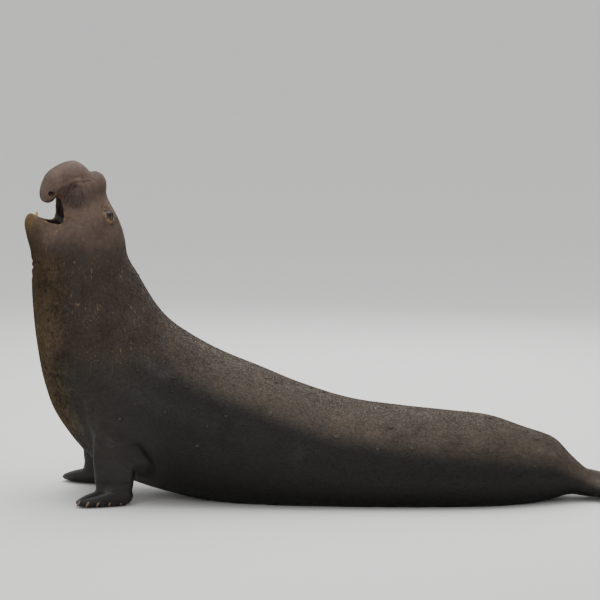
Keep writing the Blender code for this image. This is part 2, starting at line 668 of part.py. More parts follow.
def largest_only(obj):
    """Drops the crumbs that a cut can leave beside the piece."""
    mesh = bmesh.new()
    mesh.from_mesh(obj.data)
    left, islands = set(mesh.verts), []
    while left:
        found, edge = set(), {left.pop()}
        while edge:
            found |= edge
            edge = {e.other_vert(v) for v in edge for e in v.link_edges} - found
        left -= found
        islands.append(found)
    islands.sort(key=len)
    bmesh.ops.delete(mesh, geom=[v for island in islands[:-1] for v in island], context="VERTS")
    mesh.to_mesh(obj.data)
    mesh.free()
    return obj


def parted(body, name, place):
    """Cuts the piece inside the block off the body, with the gap between them."""
    piece = copied(body, name)
    for obj, operation, grow in ((piece, "INTERSECT", 0.0), (body, "DIFFERENCE", GAP)):
        block = box(place, grow)
        boolean(obj, block, operation)
        bpy.data.objects.remove(block)
        largest_only(obj)
    return piece


def with_added(obj, extras):
    """Grows the extras out of the piece, their roots sunk in it."""
    for extra in extras:
        boolean(obj, extra, "UNION")
        bpy.data.objects.remove(extra)
    return largest_only(obj)


def with_hollowed(obj, tools):
    for tool in tools:
        boolean(obj, tool, "DIFFERENCE")
        bpy.data.objects.remove(tool)
    return largest_only(obj)


def both_sides(point):
    x, y, z = point
    return posed_point((x, y, z)), posed_point((x, -y, z))


def teeth_of(teeth):
    made = []
    for tooth in teeth:
        for side in (1, -1) if tooth.both_sides else (1,):
            ends = [posed_point((x, y * side, z)) for x, y, z in (tooth.root, tooth.tip)]
            made.append(spike("tooth", *ends, tooth.radius, blunt=0.3, sides=8))
    return made


def nostrils():
    floor, mouth, radius = NOSTRIL
    ends = zip(both_sides(mouth), both_sides(floor))
    return [spike("nostril", one, two, radius, blunt=0.7, sides=12) for one, two in ends]


def claws(side, step, splay):
    """The claws of one fore flipper, each lying on the end of its digit."""
    made = []
    for digit in FORE_DIGITS:
        knuckle, tip = Vector(digit.knuckle), Vector(digit.tip)
        way = (tip - knuckle).normalized()
        root = tip - way * CLAW_LENGTH * 0.45 + Vector((0, 0, CLAW_RISE))
        end = tip + way * CLAW_LENGTH * 0.55
        end.z = CLAW_TIP_Z
        ends = [posed_point((x + step, y * side, z)) for x, y, z in splayed((root, end), splay)]
        made.append(spike("claw", *ends, CLAW_RADIUS, blunt=0.3, bend=(0, 0, 0.004), sides=8))
    return made


def ball(name, centre, radius):
    mesh = bmesh.new()
    bmesh.ops.create_icosphere(mesh, subdivisions=3, radius=radius)
    bmesh.ops.translate(mesh, verts=mesh.verts, vec=centre)
    data = bpy.data.meshes.new(name)
    mesh.to_mesh(data)
    mesh.free()
    obj = bpy.data.objects.new(name, data)
    bpy.context.scene.collection.objects.link(obj)
    return obj


def painted(obj, look):
    """Gives a node its own material from a look's colour, roughness and metallic."""
    material = bpy.data.materials.new(obj.name)
    material.use_nodes = True
    shader = material.node_tree.nodes["Principled BSDF"]
    shader.inputs["Base Color"].default_value = (*look.colour, 1)
    shader.inputs["Roughness"].default_value = look.roughness
    shader.inputs["Metallic"].default_value = 0.0
    obj.data.materials.clear()
    obj.data.materials.append(material)


def centred(nodes):
    """Moves the whole seal so that it stands over the origin."""
    low, high = np.full(3, np.inf), np.full(3, -np.inf)
    for node in nodes:
        points = points_of(node)
        low, high = np.minimum(low, points.min(axis=0)), np.maximum(high, points.max(axis=0))
    shift = Vector((-(low[0] + high[0]) / 2, -(low[1] + high[1]) / 2, 0))
    print("moved by", tuple(shift))
    for node in nodes:
        node.data.transform(Matrix.Translation(shift))


def main():
    clear_scene()
    body, eye, facing = whole_body()
    pose(body)
    flat_on_floor(body)
    thinned_by_region(body)
    flat_on_floor(body)
    nodes = {}
    for name, place in LIMB_CUTS + TRUNK_CUTS:
        nodes[name] = parted(body, name, place)
    head = body
    for name, place in HEAD_CUTS:
        nodes[name] = parted(head, name, place)
    head.name = "head"
    nodes["head"] = head
    eye_centre = eye - facing * EYE_DEPTH
    for name, centre in zip(("eye_left", "eye_right"), both_sides(eye_centre)):
        nodes[name] = ball(name, centre, EYE_RADIUS)
        with_hollowed(head, [ball("socket", centre, EYE_RADIUS + GAP)])
    with_added(head, teeth_of(UPPER_TEETH))
    with_added(nodes["lower_jaw"], teeth_of(LOWER_TEETH))
    with_hollowed(nodes["proboscis"], nostrils())
    with_added(nodes["fore_flipper_left"], claws(1, 0.0, 0.0))
    with_added(nodes["fore_flipper_right"], claws(-1, -FORE_STEP, HAND_SPLAY))
    for name, node in nodes.items():
        node.data.name = name
        painted(node, LOOKS[LOOK_OF.get(name, "hide")])
    centred(nodes.values())


main()
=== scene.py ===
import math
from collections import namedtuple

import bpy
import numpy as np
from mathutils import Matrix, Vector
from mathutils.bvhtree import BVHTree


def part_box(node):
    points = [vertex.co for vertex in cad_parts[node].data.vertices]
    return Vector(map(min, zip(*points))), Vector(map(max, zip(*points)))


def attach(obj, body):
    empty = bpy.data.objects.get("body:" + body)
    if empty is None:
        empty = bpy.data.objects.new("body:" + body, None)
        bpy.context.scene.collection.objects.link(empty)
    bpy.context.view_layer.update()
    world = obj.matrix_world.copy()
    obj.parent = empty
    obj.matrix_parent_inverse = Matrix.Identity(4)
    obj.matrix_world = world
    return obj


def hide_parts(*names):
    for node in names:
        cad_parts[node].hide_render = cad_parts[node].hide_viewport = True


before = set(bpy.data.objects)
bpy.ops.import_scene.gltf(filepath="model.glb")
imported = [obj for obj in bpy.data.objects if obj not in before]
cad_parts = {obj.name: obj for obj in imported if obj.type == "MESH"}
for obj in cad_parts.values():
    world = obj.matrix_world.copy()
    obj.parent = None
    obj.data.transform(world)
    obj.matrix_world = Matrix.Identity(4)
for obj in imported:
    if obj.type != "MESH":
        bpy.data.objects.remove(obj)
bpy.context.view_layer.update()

# %% [markdown]
# # A bull elephant seal, life size
#
# The seal stands on its fore flippers with its head thrown up and its mouth wide open, and its
# hind body lies flat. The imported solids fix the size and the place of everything. This lesson
# gives them a living surface: one skin without seams, wet glossy eyes, teeth, tongue, claws,
# whiskers and short fur.
#
# Every form is modelled in a straight stance, as an artist keeps a model symmetrical for as long
# as possible. The turn of the head and the sway of the chest come last and move all of it alike.

rng = np.random.default_rng(7)

# %% [markdown]
# ## Camera
#
# The picture was taken from far away with a long lens, a little above the seal, so the far side
# hardly shrinks. A long focal length with a small tilt down gives the same flat look. The place
# is worked out once, so that the seal's outline falls where the picture has it.

# %% Camera
LENS = 234.9
TILT_DOWN = math.radians(8.1)
CAMERA_PLACE = (-0.2696, -19.433, 3.760)
SEAL_MIDDLE = (-0.27, 0, 1.0)

bpy.ops.object.select_all(action="DESELECT")
bpy.ops.object.camera_add(location=CAMERA_PLACE, rotation=(math.radians(90) - TILT_DOWN, 0, 0))
camera = bpy.context.object
camera.data.lens = LENS
camera.data.sensor_width = 36.0
camera.data.clip_end = 100.0
bpy.context.scene.camera = camera
print("camera", round(math.dist(CAMERA_PLACE, SEAL_MIDDLE), 2), "m from the seal")

# %% [markdown]
# ## Floor and light
#
# The floor is one pale sheet, big enough to fill the view. The day in the picture is overcast,
# so the light is one very large soft lamp overhead, a weaker one behind the seal, a weak one on the
# viewer's side and a pale sky. Small lamps would draw hard streaks on the wet hide that the
# picture doesn't have.

# %% Floor and light
FLOOR_SIZE = 120.0
# Each lamp: its name, its place, what it aims at, its size, its watts and its colour.
LAMPS = (
    ("overhead", (-0.3, 0.6, 5.2), (-0.2, 0.1, 0.6), 6.0, 300, (0.98, 0.99, 1.0)),
    ("from_behind", (0.5, 5.0, 3.4), (-0.3, 0, 0.8), 4.0, 120, (0.97, 0.99, 1.0)),
    ("from_the_front", (-2.6, -5.6, 3.0), (-0.5, 0, 0.7), 4.0, 60, (1.0, 0.99, 0.97)),
)


def add_floor():
    bpy.ops.mesh.primitive_plane_add(size=FLOOR_SIZE, location=(0, 0, 0))
    floor = bpy.context.object
    floor.name = "floor"
    matter = bpy.data.materials.new("pale floor")
    matter.use_nodes = True
    shader = matter.node_tree.nodes["Principled BSDF"]
    shader.inputs["Base Color"].default_value = (0.74, 0.73, 0.71, 1)
    shader.inputs["Roughness"].default_value = 0.85
    floor.data.materials.append(matter)


def add_lamp(name, place, aim, size, watts, colour):
    way = Vector(aim) - Vector(place)
    turn = way.to_track_quat("-Z", "Y").to_euler()
    bpy.ops.object.light_add(type="AREA", location=place, rotation=turn)
    lamp = bpy.context.object
    lamp.name = name
    lamp.data.size, lamp.data.energy, lamp.data.color = size, watts, colour


add_floor()
for lamp in LAMPS:
    add_lamp(*lamp)
sky = bpy.data.worlds.new("pale sky")
sky.use_nodes = True
sky.node_tree.nodes["Background"].inputs["Color"].default_value = (0.90, 0.91, 0.92, 1)
sky.node_tree.nodes["Background"].inputs["Strength"].default_value = 1.0
bpy.context.scene.world = sky
print("lamps:", [o.name for o in bpy.data.objects if o.type == "LIGHT"])

# %% [markdown]
# ## Working on meshes
#
# An operator acts on everything that is selected, so each step first selects one piece only.
# Points are moved as arrays, which is the same as moving them by hand in edit mode, only for many
# at once.

# %% Selecting, finishing and moving points


def only(*objs):
    """Selects these objects and nothing else; the first is the active one."""
    bpy.ops.object.select_all(action="DESELECT")
    for obj in objs:
        obj.select_set(True)
    bpy.context.view_layer.objects.active = objs[0]
    return objs[0]


def finish_steps(obj):
    """Applies the piece's modifiers from the top."""
    only(obj)
    for step in list(obj.modifiers):
        bpy.ops.object.modifier_apply(modifier=step.name)
    return obj


def smooth(obj):
    only(obj)
    bpy.ops.object.shade_smooth()
    return obj


def in_edit_mode(obj, *steps):
    """Takes these operators and their settings in edit mode, each on the whole piece."""
    only(obj)
    bpy.ops.object.mode_set(mode="EDIT")
    for operator, settings in steps:
        bpy.ops.mesh.select_all(action="SELECT")
        operator(**settings)
    bpy.ops.object.mode_set(mode="OBJECT")
    return obj


TURN_OUTWARDS = (bpy.ops.mesh.normals_make_consistent, {"inside": False})


def read(things, name, width=1, kind=np.float32):
    """The same value of each of many things, as an array."""
    values = np.empty(len(things) * width, kind)
    things.foreach_get(name, values)
    return values.reshape(-1, width) if width > 1 else values


def points_of(obj):
    return read(obj.data.vertices, "co", 3).astype(float)


def normals_of(obj):
    return read(obj.data.vertex_normals, "vector", 3).astype(float)


def set_points(obj, points):
    obj.data.vertices.foreach_set("co", np.asarray(points, np.float32).ravel())
    obj.data.update()


def ease(values):
    """From 0 to 1 with a soft start and a soft end."""
    values = np.clip(values, 0, 1)
    return values * values * (3 - 2 * values)


def above(values, start, width):
    """0 up to start, 1 from a width above it, soft in between."""
    return ease((values - start) / width)


def below(values, start, width):
    """0 down to start, 1 from a width below it, soft in between."""
    return ease((start - values) / width)


def join_all(name, pieces):
    only(*pieces)
    if len(pieces) > 1:
        bpy.ops.object.join()
    obj = bpy.context.object
    obj.name = obj.data.name = name
    return obj


def cut(obj, other, operation):
    """One Boolean step with the other form, which is then removed."""
    step = obj.modifiers.new("cut", "BOOLEAN")
    step.object, step.operation, step.solver = other, operation, "EXACT"
    finish_steps(obj)
    bpy.data.objects.remove(other)
    return obj


def new_piece(name, mesh):
    piece = bpy.data.objects.new(name, mesh)
    bpy.context.scene.collection.objects.link(piece)
    return piece


def duplicate(obj, name):
    twin = new_piece(name, obj.data.copy())
    twin.data.name = name
    return twin


def unit(vectors, tiny=0.0):
    """The same directions, each one metre long."""
    return vectors / (np.linalg.norm(vectors, axis=1)[:, None] + tiny)


def each_side(both):
    return (1, -1) if both else (1,)


def metres(value):
    """Millimetres as metres, also those in rows within rows."""
    return tuple(map(metres, value)) if isinstance(value, tuple) else value / 1000


print("helpers ready")

# %% [markdown]
# ## Tubes
#
# A seal is a set of tubes: a long tapering trunk, a swollen nose, limbs like flattened sleeves.
# Each is a grid rolled up, one row for each section, with its long edges welded and both ends
# closed. A smooth curve runs through the given sections, so a few measured ones make a full form.

# %% Rolled tubes


def through(rows, steps):
    """Rows of numbers joined by a smooth curve that passes through each."""
    rows = np.array(rows, float)
    padded = np.vstack([2 * rows[0] - rows[1], rows, 2 * rows[-1] - rows[-2]])
    found = []
    for i in range(len(rows) - 1):
        a, b, c, d = padded[i : i + 4]
        for t in np.arange(steps) / steps:
            bend = 2 * a - 5 * b + 4 * c - d
            found.append(b + 0.5 * t * ((c - a) + t * (bend + t * (3 * (b - c) + d - a))))
    return np.array(found + [rows[-1]])


def rolled_tube(name, loops):
    around, rows = len(loops[0]), len(loops)
    bpy.ops.object.select_all(action="DESELECT")
    cuts = {"x_subdivisions": around, "y_subdivisions": rows - 1}
    bpy.ops.mesh.primitive_grid_add(size=1, location=(0, 0, 0), **cuts)
    obj = bpy.context.object
    obj.name = obj.data.name = name
    set_points(obj, np.vstack([np.vstack([loop, loop[:1]]) for loop in loops]))
    weld = (bpy.ops.mesh.remove_doubles, {"threshold": 0.00001})
    close_ends = (bpy.ops.mesh.fill_holes, {"sides": 0})
    return in_edit_mode(obj, weld, close_ends, TURN_OUTWARDS)


def rounded(values, boxy):
    return np.sign(values) * np.abs(values) ** (2 / boxy)


def body_tube(name, sections, around=40, steps=4, spread=0.0):
    """A tube on the middle plane, from each ring's point on the back and on the belly."""
    angle = np.linspace(0, 2 * math.pi, around, endpoint=False)
    loops = []
    for row in through([(*r.back, *r.belly, r.half_width, r.boxy) for r in sections], steps):
        back, belly, half_width, boxy = row[0:2], row[2:4], row[4], row[5]
        along, across = rounded(np.cos(angle), boxy), rounded(np.sin(angle), boxy)
        middle, reach = (back + belly) / 2, (back - belly) / 2
        y = half_width * across * (1 - spread * along)
        x, z = (middle[i] + reach[i] * along for i in (0, 1))
        loops.append(np.stack([x, y, z], axis=1))
    return rolled_tube(name, loops)


def limb_tube(name, sections, around=24, steps=4):
    """A flattened tube along any path."""
    rows = through([(*s.centre, *s.broadways, s.half_breadth, s.half_thickness) for s in sections], steps)
    centres = rows[:, 0:3]
    heading = np.gradient(centres, axis=0)
    angle = np.linspace(0, 2 * math.pi, around, endpoint=False)
    loops = []
    for centre, way, row in zip(centres, heading, rows):
        way = way / np.linalg.norm(way)
        broad = row[3:6] - way * (row[3:6] @ way)
        broad = broad / np.linalg.norm(broad)
        thin = np.cross(way, broad)
        rim = np.outer(np.cos(angle), broad * row[6]) + np.outer(np.sin(angle), thin * row[7])
        loops.append(centre + rim)
    return rolled_tube(name, loops)


SPIKE_TAPER = ((0, 1), (0.3, 0.97), (0.6, 0.82), (0.85, None), (0.96, None), (1, None))


def spike(name, root, tip, radius, blunt=0.25, bend=(0, 0, 0), sides=10):
    """A round, tapering form, such as a digit, a tooth or a claw."""
    root, tip, bend = Vector(root), Vector(tip), Vector(bend)
    way = (tip - root).normalized()
    side = way.orthogonal().normalized()
    other = way.cross(side)
    ends = {0.85: 0.55 + blunt * 0.3, 0.96: blunt, 1: blunt / 3}
    loops = []
    for t, share in SPIKE_TAPER:
        middle = root.lerp(tip, t) + bend * math.sin(math.pi * t)
        wide = radius * (ends[t] if share is None else share)
        turn = [2 * math.pi * i / sides for i in range(sides)]
        loops.append(np.array([middle + (side * math.cos(a) + other * math.sin(a)) * wide for a in turn]))
    return rolled_tube(name, loops)


print("tubes ready")

# %% [markdown]
# ## The measured sections
#
# These are the same sections as in the solids, read from the outline in the picture and from the
# build of the species where the picture hides it. They are written in millimetres. A ring is the
# x and z of its point on the back, those of its point on the belly, half its width, and how boxy
# it is: above 2 makes a round section squarer.

# %% Trunk, nose and jaw
Ring = namedtuple("Ring", "back belly half_width boxy")


def rings(*rows):
    return [Ring(*metres(((a, b), (c, d), half_width)), boxy) for a, b, c, d, half_width, boxy in rows]


TRUNK = rings(
    (1255, 112, 1255, 20, 85, 2.0), (1215, 130, 1215, 14, 112, 2.0),
    (1165, 156, 1150, 20, 125, 2.0), (1092, 222, 1075, 22, 150, 2.0),
    (1003, 310, 985, 0, 200, 2.1), (855, 362, 855, -25, 262, 2.2),
    (680, 418, 680, -41, 318, 2.3), (480, 440, 480, -46, 350, 2.3),
    (230, 464, 230, -51, 372, 2.3), (-20, 498, -10, -51, 388, 2.3),
    (-270, 574, -245, -51, 398, 2.3), (-470, 656, -430, -46, 400, 2.3),
    (-655, 732, -630, -34, 398, 2.2), (-795, 805, -880, 15, 392, 2.2),
    (-910, 882, -1110, 81, 382, 2.1), (-985, 964, -1305, 183, 362, 2.1),
    (-1040, 1052, -1480, 397, 330, 2.1), (-1083, 1129, -1553, 582, 300, 2.1),
    (-1116, 1182, -1594, 806, 275, 2.1), (-1136, 1234, -1610, 1000, 252, 2.1),
    (-1141, 1280, -1612, 1130, 232, 2.1), (-1149, 1324, -1616, 1235, 213, 2.1),
    (-1170, 1388, -1588, 1318, 190, 2.2), (-1196, 1440, -1504, 1388, 172, 2.6),
    (-1222, 1486, -1493, 1450, 154, 2.9), (-1240, 1534, -1488, 1508, 142, 2.9),
    (-1238, 1586, -1470, 1566, 134, 2.8), (-1256, 1628, -1412, 1618, 114, 2.4),
    (-1294, 1646, -1356, 1640, 48, 2.0),
)
NOSE = rings(
    (-1274, 1628, -1352, 1490, 110, 2.2), (-1318, 1648, -1388, 1510, 118, 2.3),
    (-1354, 1677, -1410, 1530, 122, 2.4), (-1388, 1697, -1434, 1540, 124, 2.5),
    (-1440, 1691, -1450, 1542, 121, 2.5), (-1494, 1666, -1470, 1536, 114, 2.5),
    (-1535, 1635, -1486, 1526, 105, 2.4), (-1561, 1587, -1496, 1514, 95, 2.3),
    (-1573, 1540, -1504, 1503, 85, 2.2), (-1569, 1505, -1516, 1493, 65, 2.0),
    (-1552, 1489, -1532, 1487, 30, 2.0),
)
JAW = rings(
    (-1310, 1384, -1380, 1150, 160, 2.2), (-1400, 1402, -1490, 1170, 150, 2.4),
    (-1480, 1424, -1570, 1200, 138, 2.7), (-1540, 1432, -1614, 1245, 122, 2.9),
    (-1585, 1438, -1634, 1305, 102, 2.8), (-1617, 1443, -1646, 1352, 78, 2.4),
    (-1641, 1424, -1653, 1388, 38, 2.0),
)
BELLY_SPREAD = 0.10
print("trunk", len(TRUNK), "sections, nose", len(NOSE), ", jaw", len(JAW))

# %% The hollow of the mouth and the nostrils
TROUGH = rings(
    (-1603, 1520, -1603, 1418, 30, 2.2), (-1582, 1520, -1582, 1382, 60, 3.0),
    (-1545, 1520, -1545, 1354, 86, 3.5), (-1490, 1500, -1490, 1340, 102, 3.5),
    (-1440, 1460, -1435, 1334, 98, 3.0), (-1385, 1420, -1385, 1330, 68, 2.4),
    (-1345, 1390, -1345, 1340, 30, 2.0),
)
PALATE = rings(
    (-1570, 1526, -1452, 1520, 74, 2.4), (-1572, 1495, -1436, 1495, 92, 2.8),
    (-1574, 1460, -1430, 1460, 102, 2.8), (-1572, 1415, -1420, 1420, 106, 2.6),
    (-1520, 1372, -1400, 1380, 82, 2.2),
)
# A nostril's floor, its mouth and its radius, in metres.
NOSTRIL = ((-1.530, -0.046, 1.568), (-1.525, -0.108, 1.530), 0.017)
print("mouth hollow", len(TROUGH) + len(PALATE), "sections")

# %% Limbs and tail
# A slice is its centre, the way in which it is broad, half its breadth and half its thickness.
Slice = namedtuple("Slice", "centre broadways half_breadth half_thickness")
Digit = namedtuple("Digit", "knuckle tip radius")


def slices(*rows):
    return [Slice(metres(at), broadways, *metres((broad, thick))) for at, broadways, broad, thick in rows]


def digits(*rows):
    return [Digit(*metres(row)) for row in rows]


# The far hand stands a step ahead of the near one, splayed and stretched. These are in metres.
FORE_STEP = 0.084
HAND_SPLAY = math.radians(13)
HAND_STRETCH = 0.20
WRIST = (-1.194, -0.286, 0.120)
WRIST_FLEX = 0.060
ARM = slices(
    ((-1150, -170, 430), (1, 0, 0.15), 135, 110), ((-1175, -250, 340), (1, 0, 0.10), 128, 90),
    ((-1190, -282, 250), (1, 0, 0.00), 116, 68), ((-1192, -286, 170), (1, 0, 0.00), 106, 55),
    ((-1194, -284, 110), (1, 0, 0.00), 99, 48), ((-1195, -284, 60), (1, 0, 0.00), 90, 44),
    ((-1195, -284, 30), (1, 0, 0.00), 80, 36),
)
PALM = slices(
    ((-1110, -272, 34), (0.25, -1, 0), 22, 26), ((-1132, -282, 42), (0.25, -1, 0), 40, 42),
    ((-1190, -294, 46), (0.25, -1, 0), 56, 47), ((-1250, -304, 42), (0.25, -1, 0), 62, 43),
    ((-1305, -318, 34), (0.25, -1, 0), 60, 35), ((-1345, -332, 27), (0.25, -1, 0), 48, 26),
    ((-1380, -344, 20), (0.25, -1, 0), 26, 16),
)
FORE_DIGITS = digits(
    ((-1270, -290, 56), (-1366, -368, 22), 27), ((-1250, -300, 53), (-1322, -376, 18), 23),
    ((-1212, -300, 52), (-1270, -366, 18), 22), ((-1170, -296, 50), (-1212, -346, 18), 21),
    ((-1132, -282, 46), (-1156, -318, 18), 20),
)
ANKLE = slices(
    ((1120, -45, 85), (0, -1, 0.10), 75, 60), ((1210, -66, 64), (0, -1, 0.12), 66, 48),
    ((1290, -92, 50), (0.1, -1, 0.14), 64, 36), ((1370, -116, 40), (0.2, -1, 0.16), 78, 27),
    ((1420, -130, 36), (0.2, -1, 0.16), 84, 20),
)
WEB = slices(
    ((1330, -102, 44), (0.1, -1, 0.14), 56, 16), ((1400, -124, 36), (0.2, -1, 0.15), 82, 13),
    ((1470, -146, 28), (0.25, -1, 0.13), 112, 10), ((1535, -166, 22), (0.3, -1, 0.10), 130, 9),
    ((1570, -174, 18), (0.3, -1, 0.08), 118, 6),
)
HIND_DIGITS = digits(
    ((1320, -48, 50), (1650, -50, 16), 26), ((1335, -74, 46), (1605, -96, 14), 20),
    ((1340, -104, 44), (1588, -158, 13), 18), ((1340, -134, 44), (1600, -226, 14), 20),
    ((1330, -160, 44), (1628, -302, 16), 25),
)
TAIL = slices(
    ((1180, 0, 118), (0, 1, 0), 56, 34), ((1260, 0, 108), (0, 1, 0), 46, 26),
    ((1330, 0, 99), (0, 1, 0), 38, 19), ((1385, 0, 93), (0, 1, 0), 28, 13),
    ((1410, 0, 90), (0, 1, 0), 12, 6),
)
print("fore digits", len(FORE_DIGITS), ", hind digits", len(HIND_DIGITS))

# %% [markdown]
# ## One body
#
# The trunk and the jaw are joined and the mouth is hollowed out of both. Then every form goes
# into one object and is fused: a fine net of small squares is laid over all of them at once, so
# that arms, nose and tail grow out of the body with no seam. The joints are eased out by
# smoothing only near them.

# %% Limbs


def flip_to_right(obj, step=0.0):
    set_points(obj, points_of(obj) * (1, -1, 1) + (step, 0, 0))
    return in_edit_mode(obj, TURN_OUTWARDS)


def splayed(points, turn):
    """Turns a left hand outwards about its wrist and stretches it."""
    points = np.array(points, dtype=float)
    share = ease((WRIST[2] + WRIST_FLEX - points[:, 2]) / (2 * WRIST_FLEX))
    ahead, aside = points[:, 0] - WRIST[0], points[:, 1] - WRIST[1]
    if turn:
        below = ease((WRIST[2] - points[:, 2]) / WRIST_FLEX)
        ahead = np.where(ahead < 0, ahead * (1 + HAND_STRETCH * below), ahead)
    points[:, 0] = WRIST[0] + ahead * np.cos(turn * share) - aside * np.sin(turn * share)
    points[:, 1] = WRIST[1] + ahead * np.sin(turn * share) + aside * np.cos(turn * share)
    return points


def fore_flipper(splay):
    pieces = [limb_tube("arm", ARM), limb_tube("palm", PALM)]
    for digit in FORE_DIGITS:
        pieces.append(spike("digit", digit.knuckle, digit.tip, digit.radius, blunt=0.75))
    for piece in pieces:
        set_points(piece, splayed(points_of(piece), splay))
    return pieces


def hind_flipper():
    pieces = [limb_tube("ankle", ANKLE), limb_tube("web", WEB)]
    for digit in HIND_DIGITS:
        pieces.append(spike("digit", digit.knuckle, digit.tip, digit.radius, blunt=0.45))
    return pieces


limbs = fore_flipper(0.0) + [flip_to_right(piece, -FORE_STEP) for piece in fore_flipper(HAND_SPLAY)]
limbs += hind_flipper() + [flip_to_right(piece) for piece in hind_flipper()]
print("limb pieces", len(limbs))

# %% Trunk with its mouth, and the eye's place
EYE_X, EYE_Z = -1.252, 1.435
EYE_RADIUS, EYE_DEPTH = 0.031, 0.015
LOOKS_AHEAD = Vector((-0.20, 0, 0.10))

trunk = body_tube("trunk", TRUNK, around=64, steps=6, spread=BELLY_SPREAD)
tree = BVHTree.FromObject(trunk, bpy.context.evaluated_depsgraph_get())
eye_on_skin, eye_facing, _, _ = tree.ray_cast(Vector((EYE_X, -0.5, EYE_Z)), Vector((0, 1, 0)))
eye_facing = (eye_facing + LOOKS_AHEAD).normalized()
EYE_CENTRE = eye_on_skin - eye_facing * EYE_DEPTH
cut(trunk, body_tube("jaw", JAW, around=56, steps=6), "UNION")
outer = duplicate(trunk, "outer form")
hollow = cut(body_tube("trough", TROUGH), body_tube("palate", PALATE), "UNION")
inner = duplicate(hollow, "inner form")
cut(trunk, hollow, "DIFFERENCE")
print("eye at", [round(v, 3) for v in EYE_CENTRE])

# %% Nose with its two nostrils
NOSTRIL_FORM = (1.15, 1.0, 0.72)
nose = body_tube("nose", NOSE, around=48, steps=6)
pit_floor, pit_mouth, pit_radius = NOSTRIL
for side in (1, -1):
    ends = [(x, y * side, z) for x, y, z in (pit_mouth, pit_floor)]
    pit = spike("nostril", *ends, pit_radius, blunt=0.7, sides=20)
    only(pit)
    bpy.ops.transform.resize(value=NOSTRIL_FORM, center_override=pit_mouth)
    bpy.ops.object.transform_apply(location=True, rotation=True, scale=True)
    cut(nose, pit, "DIFFERENCE")
tail = limb_tube("tail", TAIL)
body = join_all("skin", [trunk, nose, tail, *limbs])
print("pieces joined:", len(body.data.vertices), "points")

# %% Fusing
GRAIN = 0.0065
step = body.modifiers.new("fuse", "REMESH")
step.mode, step.voxel_size, step.adaptivity = "VOXEL", GRAIN, 0.0
finish_steps(body)
print("fused:", len(body.data.vertices), "points")

# %% Easing where two forms meet
# In metres: the centre, how far it reaches, the rounds of smoothing, and whether on both sides.
Meeting = namedtuple("Meeting", "centre reach rounds both_sides")
MEETINGS = (
    Meeting((-1.560, 0.0, 1.270), 0.240, 60, False),
    Meeting((-1.360, -0.14, 1.360), 0.160, 40, True),
    Meeting((-1.150, -0.300, 0.330), 0.220, 50, True),
    Meeting((-1.250, -0.340, 0.060), 0.090, 6, True),
    Meeting((1.230, 0.0, 0.080), 0.140, 14, False),
    Meeting((-1.370, -0.12, 1.600), 0.120, 50, True),
    Meeting((-1.310, 0.0, 1.640), 0.060, 6, False),
    Meeting((-1.040, -0.320, 0.260), 0.120, 34, True),
)


def weigh(obj, weights, levels=24):
    """A vertex group from an array of weights, in steps fine enough not to show."""
    obj.vertex_groups.clear()
    group = obj.vertex_groups.new(name="where")
    step = np.round(np.clip(weights, 0, 1) * levels).astype(int)
    for level in range(1, levels + 1):
        found = np.flatnonzero(step == level)
        if len(found):
            group.add(found.tolist(), level / levels, "REPLACE")
    return group


def soften(obj, rounds, factor=1.0, weights=None):
    step = obj.modifiers.new("soften", "SMOOTH")
    step.factor, step.iterations = factor, rounds
    if weights is not None:
        step.vertex_group = weigh(obj, weights).name
    finish_steps(obj)
    obj.vertex_groups.clear()


def near_any(points, centre, reach, both_sides):
    weight = np.zeros(len(points))
    for side in each_side(both_sides):
        away = np.linalg.norm(points - np.array(centre) * (1, side, 1), axis=1)
        weight = np.maximum(weight, ease(1.6 * (1 - away / reach)))
    return weight


EASE_ALL_ROUNDS, MEETING_FACTOR = 4, 1.2
soften(body, EASE_ALL_ROUNDS)
for spot in MEETINGS:
    near = near_any(points_of(body), spot.centre, spot.reach, spot.both_sides)
    soften(body, spot.rounds, MEETING_FACTOR, near)
print("eased", len(MEETINGS), "meetings")

# %% [markdown]
# ## Folds
#
# A fold is a path across the skin, how wide it is and how far it goes in or out, all in
# millimetres, and it lies on both sides unless its row ends with False. The broad ones are the
# same as in the solids. The fine ones, on a denser net, are the face: wrinkles down the whisker
# pad, the crease over it, light lines along the nose, and creases at the throat.

# %% Broad folds
Fold = namedtuple("Fold", "path radius depth both_sides", defaults=(True,))


def folds(*rows):
    return [Fold(*metres(row[:3]), *row[3:]) for row in rows]


BROAD_FOLDS = folds(
    # The deep notch across the nose, between the forehead and the inflated part.
    (((-1312, -60, 1655), (-1304, 0, 1658), (-1312, 60, 1655)), 32, -10, False),
    (((-1304, -80, 1645), (-1338, -115, 1610)), 34, -5),
    # The fold between the hanging nose and the whisker pad.
    (((-1470, -110, 1548), (-1448, -125, 1568), (-1420, -130, 1588)), 24, -14),
    # The whisker pad.
    (((-1435, -135, 1545), (-1415, -145, 1505)), 65, 9),
    # The brow above the eye, towards the nose.
    (((-1252, -120, 1478), (-1232, -130, 1440)), 42, 6),
    # The throat crease under the jaw.
    (((-1620, 0, 1168), (-1590, -130, 1165), (-1530, -190, 1185)), 55, -4),
    # Skin folds where the fore flippers leave the chest.
    (((-1225, -345, 385), (-1120, -355, 330), (-1060, -340, 240)), 50, -9),
    (((-1070, -340, 300), (-1030, -335, 210), (-1045, -300, 140)), 60, -12),
    # Soft hollows and swells of the neck, the shoulder and the flank.
    (((-1100, -295, 799), (-1019, -293, 754), (-949, -305, 697)), 75, -12),
    (((-1236, -331, 425), (-1171, -343, 395), (-1122, -337, 346)), 70, 9),
    (((-1350, -300, 520), (-1323, -277, 400), (-1304, -268, 320)), 38, -8),
    (((-1399, -270, 810), (-1320, -305, 777), (-1245, -317, 778)), 60, -7),
    (((-1554, -170, 1108), (-1502, -210, 1137), (-1455, -226, 1168)), 30, 5),
    (((-591, -384, 402), (-458, -389, 354), (-319, -392, 296)), 90, -6),
    (((847, -225, 261), (922, -212, 224), (983, -197, 181)), 60, -7),
)


